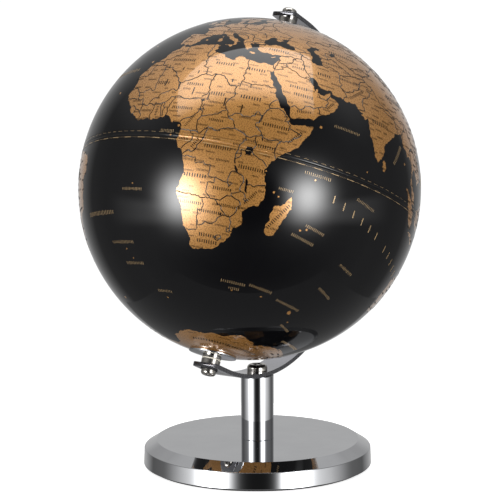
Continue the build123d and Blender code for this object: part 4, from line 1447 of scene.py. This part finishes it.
    def _small_words(
        self, words: list[list[float]], dice: random.Random
    ) -> list[list[float]]:
        """Scatters small rows of ticks over the land, clear of the other rows.

        Args:
            words: the rows already placed.
            dice: the source of the places.

        Returns:
            The new rows, in the same form.
        """
        tries = np.array([
            (dice.uniform(-180, 180), math.degrees(math.asin(dice.uniform(-0.95, 0.97))))
            for _ in range(self.scatter_tries)
        ])
        on_land = np.zeros(len(tries), bool)
        for line in self.chart.land[:-len(ISLANDS)]:
            on_land |= inside(line, tries)
        apart, above = self.scatter_gap_deg
        made: list[list[float]] = []
        for lon, lat in tries[on_land].tolist():
            narrow = max(math.cos(math.radians(lat)), 0.15)
            clear = all(
                math.hypot((lon - other[0]) * narrow / apart, (lat - other[1]) / above) > 1
                for other in words + made
            )
            if clear:
                made.append([lon, lat, dice.randint(3, 6), dice.uniform(0.55, 0.75), 0.0])
        return made

    def _word(
        self, word: Sequence[float], stroke_share: float, dice: random.Random
    ) -> list[Mark]:
        """Sets a row of plain ticks, centred on a place.

        Args:
            word: longitude, latitude, how long the row is, height in millimetres, slope.
            stroke_share: a tick's width as a share of the height.
            dice: the source of each tick's height.

        Returns:
            Rows of longitude, latitude, length, height and slope.
        """
        lon, lat, count, tall, slope = word
        tall *= self.word_scale
        pitch = tall * self.tick_pitch
        count = int(count * self.ticks_per_length)
        per_degree = self.radius / MM * math.pi / 180
        lean = math.radians(slope)
        rows = []
        for k in range(count):
            along = (k - (count - 1) / 2) * pitch / per_degree
            rows.append((
                lon + along * math.cos(lean) / math.cos(math.radians(lat)),
                lat + along * math.sin(lean),
                tall * stroke_share, tall * dice.uniform(0.7, 1.0), slope,
            ))
        return rows


# ---------------------------------------------------------------- geometry node trees


def new_tree(
    name: str, inputs: Sequence[tuple[str, str]]
) -> tuple[bpy.types.NodeTree, bpy.types.Node, dict[str, str]]:
    """Starts a geometry tree with a geometry input, further inputs and a geometry output.

    Args:
        name: the tree's name.
        inputs: the name and socket type of each further input.

    Returns:
        The tree, its input node, and each input's identifier by name.
    """
    tree = bpy.data.node_groups.new(name, "GeometryNodeTree")
    face = tree.interface
    face.new_socket("Geometry", in_out="INPUT", socket_type="NodeSocketGeometry")
    found = {}
    for label, kind in inputs:
        socket = face.new_socket(label, in_out="INPUT", socket_type=kind)
        found[label] = socket.identifier
    face.new_socket("Geometry", in_out="OUTPUT", socket_type="NodeSocketGeometry")
    return tree, add_node(tree, "NodeGroupInput"), found


def line_tree() -> tuple[bpy.types.NodeTree, dict[str, str]]:
    """Builds the tree that turns edges into thin round lines of ink.

    Returns:
        The tree and its inputs' identifiers.
    """
    tree, start, found = new_tree(
        "ink_lines", [("Line radius", "NodeSocketFloat"), ("Ink", "NodeSocketMaterial")]
    )
    curve = add_node(
        tree, "GeometryNodeMeshToCurve", None, {"Mesh": start.outputs["Geometry"]}
    )
    ring = add_node(
        tree, "GeometryNodeCurvePrimitiveCircle", None,
        {"Resolution": 8, "Radius": start.outputs["Line radius"]},
    )
    tube = add_node(
        tree, "GeometryNodeCurveToMesh", None,
        {"Curve": curve.outputs["Curve"], "Profile Curve": ring.outputs["Curve"],
         "Fill Caps": True},
    )
    whole = add_node(
        tree, "GeometryNodeRealizeInstances", None, {"Geometry": tube.outputs["Mesh"]}
    )
    inked = add_node(
        tree, "GeometryNodeSetMaterial", None,
        {"Geometry": whole.outputs["Geometry"], "Material": start.outputs["Ink"]},
    )
    add_node(tree, "NodeGroupOutput", None, {"Geometry": inked.outputs["Geometry"]})
    return tree, found


def mark_tree() -> tuple[bpy.types.NodeTree, dict[str, str]]:
    """Builds the tree that sets a flat printed stroke at each point.

    Returns:
        The tree and its inputs' identifiers.
    """
    tree, start, found = new_tree(
        "printed_marks", [("Stroke scale", "NodeSocketFloat"), ("Ink", "NodeSocketMaterial")]
    )
    stroke = add_node(tree, "GeometryNodeMeshCube", None, {"Size": (1.0, 1.0, 1.0)})
    turn = add_node(
        tree, "GeometryNodeInputNamedAttribute", {"data_type": "FLOAT_VECTOR"},
        {"Name": "mark_turn"},
    )
    size = add_node(
        tree, "GeometryNodeInputNamedAttribute", {"data_type": "FLOAT_VECTOR"},
        {"Name": "mark_size"},
    )
    scaled = add_node(
        tree, "ShaderNodeVectorMath", {"operation": "SCALE"},
        {"Vector": size.outputs["Attribute"], "Scale": start.outputs["Stroke scale"]},
    )
    turned = add_node(
        tree, "FunctionNodeEulerToRotation", None, {"Euler": turn.outputs["Attribute"]}
    )
    placed = add_node(
        tree, "GeometryNodeInstanceOnPoints", None,
        {"Points": start.outputs["Geometry"], "Instance": stroke.outputs["Mesh"],
         "Rotation": turned.outputs["Rotation"], "Scale": scaled.outputs["Vector"]},
    )
    whole = add_node(
        tree, "GeometryNodeRealizeInstances", None, {"Geometry": placed.outputs["Instances"]}
    )
    inked = add_node(
        tree, "GeometryNodeSetMaterial", None,
        {"Geometry": whole.outputs["Geometry"], "Material": start.outputs["Ink"]},
    )
    add_node(tree, "NodeGroupOutput", None, {"Geometry": inked.outputs["Geometry"]})
    return tree, found


def grown(
    name: str,
    points: Sequence[tuple[float, float, float]],
    edges: Sequence[tuple[int, int]],
    attributes: dict[str, Sequence[tuple[float, float, float]]],
    tree: bpy.types.NodeTree,
    inputs: dict[str, Any],
) -> bpy.types.Object:
    """Runs a geometry tree on points and edges, and keeps the result as a plain mesh.

    Args:
        name: the piece's name.
        points: the points' places.
        edges: the edges between them.
        attributes: vectors held by the points, by name.
        tree: the geometry tree.
        inputs: the tree's inputs, by socket identifier.

    Returns:
        The new object, with no modifier left on it.
    """
    seed_mesh = bpy.data.meshes.new(name + "_points")
    seed_mesh.from_pydata(list(points), list(edges), [])
    for label, values in attributes.items():
        layer = seed_mesh.attributes.new(label, "FLOAT_VECTOR", "POINT")
        layer.data.foreach_set("vector", np.array(values, np.float32).ravel())
    seeds = bpy.data.objects.new(name + "_points", seed_mesh)
    bpy.context.scene.collection.objects.link(seeds)
    modifier = seeds.modifiers.new("grow", "NODES")
    modifier.node_group = tree
    for identifier, value in inputs.items():
        modifier[identifier] = value.value.material() if isinstance(value, Wear) else value
    graph = bpy.context.evaluated_depsgraph_get()
    mesh = bpy.data.meshes.new_from_object(seeds.evaluated_get(graph), depsgraph=graph)
    mesh.name = name
    bpy.data.objects.remove(seeds)
    made = bpy.data.objects.new(name, mesh)
    bpy.context.scene.collection.objects.link(made)
    return made


# ---------------------------------------------------------------- studio


@dataclass
class Studio:
    """A pale board, two soft round lamps, an overhead softbox, and the camera."""

    aim_turn_deg: float = -56.8
    aim_fall_deg: float = 8.65
    roll_deg: float = -0.22
    lens_mm: float = 154.85
    eye: Vector = field(default_factory=lambda: Vector((-0.7370, -0.4789, 0.2241)))
    lamp_spread_deg: float = 8.6
    lamp_rise_deg: float = 1.0
    lamp_power: float = 15.0
    haze_spread_deg: float = 20.0
    haze_power: float = 0.5
    lamp_bearings_deg: Pair = (-46.5, 38.5)
    board_half_mm: float = 115.0
    board_front_mm: float = 105.0
    board_gap_mm: float = 0.2
    board_white: float = 0.85
    board_glow: float = 0.2
    floor_glow: float = 0.65
    backdrop_power: float = 1.05
    softbox_power: float = 3.0
    softbox_dim: float = 0.02
    softbox_fade: Pair = (-0.08, 0.24)
    softbox_corners: tuple[Pair, ...] = (
        (-0.970, -0.449), (0.867, -0.536), (0.647, -0.112), (0.484, 0.521), (-0.337, 0.301),
        (-0.682, 0.070),
    )

    def build(self) -> None:
        """Sets up the board, the softbox, the room with its lamps, and the camera."""
        self._board()
        self._softbox(PoleLine().centre)
        self._room()
        self._camera()

    def _away(self) -> Vector:
        """Gives the level direction in which the camera looks."""
        turn = math.radians(-self.aim_turn_deg)
        return Vector((math.sin(turn), math.cos(turn), 0.0))

    def _stage(self, piece: bpy.types.Object, seen: bool) -> None:
        """Hides a studio object from the camera unless it is seen.

        Args:
            piece: the studio object.
            seen: whether the camera sees it.
        """
        piece.visible_camera = seen

    def _board(self) -> None:
        """Makes the board under the object.

        It is white where the camera sees it. In reflections it is dim grey, and it fades to
        clear where it is met at a slant.
        """
        low = cad_box[0][2] - self.board_gap_mm * MM
        away = self._away()
        right = away.cross(Vector((0, 0, 1)))
        half = self.board_half_mm * MM
        front = self.board_front_mm * MM
        corners = [(-half, -front), (half, -front), (half, half), (-half, half)]
        points = [right * x + away * y + Vector((0, 0, low)) for x, y in corners]
        mesh = bpy.data.meshes.new("board")
        mesh.from_pydata([tuple(p) for p in points], [], [[0, 1, 2, 3]])
        made = bpy.data.materials.new("pale_painted_board")
        made.use_nodes = True
        tree = made.node_tree
        tree.nodes.clear()
        shade = self.board_white
        white = add_node(tree, "ShaderNodeBsdfDiffuse", None, {"Color": (shade, shade, shade, 1.0)})
        fill = add_node(
            tree, "ShaderNodeEmission", None, {"Color": (1, 1, 1, 1), "Strength": shade}
        )
        pale = add_node(
            tree, "ShaderNodeAddShader", None,
            {0: white.outputs["BSDF"], 1: fill.outputs["Emission"]},
        )
        grey = add_node(
            tree, "ShaderNodeEmission", None, {"Color": (1, 1, 1, 1), "Strength": self.board_glow}
        )
        clear = add_node(tree, "ShaderNodeBsdfTransparent")
        slant = add_node(tree, "ShaderNodeLayerWeight", None, {"Blend": 0.5})
        grazing = add_node(
            tree, "ShaderNodeMapRange", {"interpolation_type": "SMOOTHSTEP"},
            {"Value": slant.outputs["Facing"], "From Min": 0.55, "From Max": 0.8},
        )
        faded = add_node(
            tree, "ShaderNodeMixShader", None,
            {0: grazing.outputs["Result"], 1: grey.outputs["Emission"],
             2: clear.outputs["BSDF"]},
        )
        path = add_node(tree, "ShaderNodeLightPath")
        mixed = add_node(
            tree, "ShaderNodeMixShader", None,
            {0: path.outputs["Is Camera Ray"], 1: faded.outputs["Shader"],
             2: pale.outputs["Shader"]},
        )
        add_node(
            tree, "ShaderNodeOutputMaterial", None, {"Surface": mixed.outputs["Shader"]}
        )
        mesh.materials.append(made)
        board = bpy.data.objects.new("board", mesh)
        bpy.context.scene.collection.objects.link(board)
        self._stage(board, True)

    def _softbox(self, centre: Vector) -> None:
        """Makes the overhead softbox, brightest along its far edge.

        Args:
            centre: the globe's centre, a metre under the softbox.
        """
        back = self._away()
        up = Vector((0, 0, 1))
        right = back.cross(up)
        points = [centre + up + right * x + back * y for x, y in self.softbox_corners]
        mesh = bpy.data.meshes.new("softbox")
        mesh.from_pydata([tuple(p) for p in points], [], [list(range(len(points)))])
        made = bpy.data.materials.new("softbox_glow")
        made.use_nodes = True
        tree = made.node_tree
        tree.nodes.clear()
        place = add_node(tree, "ShaderNodeTexCoord")
        depth = add_node(
            tree, "ShaderNodeVectorMath", {"operation": "DOT_PRODUCT"},
            {0: place.outputs["Object"], 1: tuple(back)},
        )
        near = centre.dot(back) + self.softbox_corners[0][1]
        bright = add_node(
            tree, "ShaderNodeMapRange", {"interpolation_type": "SMOOTHSTEP"},
            {"Value": depth.outputs["Value"], "From Min": near + self.softbox_fade[0],
             "From Max": near + self.softbox_fade[1],
             "To Min": self.softbox_dim, "To Max": self.softbox_power},
        )
        glow = add_node(tree, "ShaderNodeEmission", None, {"Strength": bright.outputs["Result"]})
        add_node(tree, "ShaderNodeOutputMaterial", None, {"Surface": glow.outputs["Emission"]})
        mesh.materials.append(made)
        box = bpy.data.objects.new("softbox", mesh)
        bpy.context.scene.collection.objects.link(box)
        self._stage(box, False)

    def _room(self) -> None:
        """Makes the room: white to the camera, and a set of soft lights for all else.

        The lights are a glow that grows from front to back, a brighter ceiling, a low band
        at the sides, and two round lamps with a haze about each.
        """
        world = bpy.data.worlds.new("studio_room")
        world.use_nodes = True
        bpy.context.scene.world = world
        tree = world.node_tree
        tree.nodes.clear()
        way = add_node(tree, "ShaderNodeTexCoord").outputs["Generated"]
        away = self._away()
        right = away.cross(Vector((0, 0, 1)))
        toward_back = add_node(
            tree, "ShaderNodeVectorMath", {"operation": "DOT_PRODUCT"}, {0: way, 1: tuple(away)}
        ).outputs["Value"]
        share = add_node(
            tree, "ShaderNodeMapRange", None,
            {"Value": toward_back, "From Min": -1.0, "From Max": 1.0},
        )
        ramp = add_node(tree, "ShaderNodeValToRGB", None, {"Fac": share.outputs["Result"]})
        stops = [
            (0.0, 0.01), (0.012, 0.015), (0.05, 0.02), (0.2, 0.05), (0.4, 0.18), (0.53, 0.2),
            (0.67, 0.15), (0.82, 0.12), (0.89, 0.3), (0.97, 0.51),
        ]
        elements = ramp.color_ramp.elements
        while len(elements) < len(stops):
            elements.new(0.5)
        for element, (spot, light) in zip(elements, stops):
            element.position = spot
            element.color = (light, light, light, 1.0)
        height = add_node(
            tree, "ShaderNodeVectorMath", {"operation": "DOT_PRODUCT"},
            {0: way, 1: (0.0, 0.0, 1.0)},
        ).outputs["Value"]
        gates = {}
        for label, value, start, end, most in (
            ("high", height, 0.3, 0.75, 0.4), ("behind", toward_back, -0.4, 0.3, 1.0),
            ("low", height, -0.02, -0.12, 1.0), ("sides", toward_back, 0.35, -0.5, self.floor_glow),
            ("not_deep", height, -0.32, -0.2, 1.0), ("not_front", toward_back, -0.95, -0.8, 1.0),
            ("aside", toward_back, -0.985, -0.88, 1.0),
        ):
            gates[label] = add_node(
                tree, "ShaderNodeMapRange", {"interpolation_type": "SMOOTHSTEP"},
                {"Value": value, "From Min": start, "From Max": end, "To Max": most},
            ).outputs["Result"]
        total = ramp.outputs["Color"]
        for labels in (("high", "behind"), ("low", "sides", "not_deep", "not_front")):
            light = gates[labels[0]]
            for label in labels[1:]:
                light = add_node(
                    tree, "ShaderNodeMath", {"operation": "MULTIPLY"},
                    {0: light, 1: gates[label]},
                ).outputs[0]
            total = add_node(
                tree, "ShaderNodeMath", {"operation": "ADD"}, {0: total, 1: light}
            ).outputs[0]
        rise = math.radians(self.lamp_rise_deg)
        for bearing in self.lamp_bearings_deg:
            turn = math.radians(bearing)
            level = right * math.sin(turn) - away * math.cos(turn)
            lamp = level * math.cos(rise) + Vector((0, 0, math.sin(rise)))
            near = add_node(
                tree, "ShaderNodeVectorMath", {"operation": "DOT_PRODUCT"},
                {0: way, 1: tuple(lamp)},
            )
            off = add_node(
                tree, "ShaderNodeMath", {"operation": "ARCCOSINE"}, {0: near.outputs["Value"]}
            )
            squared = add_node(
                tree, "ShaderNodeMath", {"operation": "MULTIPLY"},
                {0: off.outputs[0], 1: off.outputs[0]},
            )
            for spread, power in ((self.lamp_spread_deg, self.lamp_power),
                                  (self.haze_spread_deg, self.haze_power)):
                scaled = add_node(
                    tree, "ShaderNodeMath", {"operation": "MULTIPLY"},
                    {0: squared.outputs[0], 1: -0.5 / math.radians(spread) ** 2},
                )
                falloff = add_node(
                    tree, "ShaderNodeMath", {"operation": "EXPONENT"}, {0: scaled.outputs[0]}
                )
                gated = add_node(
                    tree, "ShaderNodeMath", {"operation": "MULTIPLY"},
                    {0: falloff.outputs[0], 1: gates["aside"]},
                )
                total = add_node(
                    tree, "ShaderNodeMath", {"operation": "MULTIPLY_ADD"},
                    {0: gated.outputs[0], 1: power, 2: total},
                ).outputs[0]
        room = add_node(
            tree, "ShaderNodeBackground", None,
            {"Color": (1, 1, 1, 1), "Strength": total},
        )
        white = add_node(
            tree, "ShaderNodeBackground", None,
            {"Color": (1, 1, 1, 1), "Strength": self.backdrop_power},
        )
        path = add_node(tree, "ShaderNodeLightPath")
        mixed = add_node(
            tree, "ShaderNodeMixShader", None,
            {0: path.outputs["Is Camera Ray"], 1: room.outputs["Background"],
             2: white.outputs["Background"]},
        )
        add_node(tree, "ShaderNodeOutputWorld", None, {"Surface": mixed.outputs["Shader"]})
        bpy.context.scene.view_settings.view_transform = "Standard"

    def _camera(self) -> None:
        """Makes the camera, with a long lens and no shift."""
        lens = bpy.data.cameras.new("camera")
        lens.sensor_width = 36.0
        lens.lens = self.lens_mm
        lens.clip_end = 20.0
        camera = bpy.data.objects.new("camera", lens)
        turn = Matrix.Rotation(math.radians(self.aim_turn_deg), 4, "Z")
        tip = Matrix.Rotation(math.radians(90 - self.aim_fall_deg), 4, "X")
        roll = Matrix.Rotation(math.radians(self.roll_deg), 4, "Z")
        camera.matrix_world = Matrix.Translation(self.eye) @ turn @ tip @ roll
        bpy.context.scene.collection.objects.link(camera)
        bpy.context.scene.camera = camera


# ---------------------------------------------------------------- main


def main() -> None:
    """Builds the stand, the globe and the studio in order."""
    logging.basicConfig(level=logging.INFO, format="%(name)s: %(message)s")
    Studio().build()
    pole_line = PoleLine()
    Base().build()
    Post().build()
    Arm(pole_line).build()
    PoleFittings(pole_line).build()
    Globe(pole_line).build()


if __name__ == "__main__":
    main()
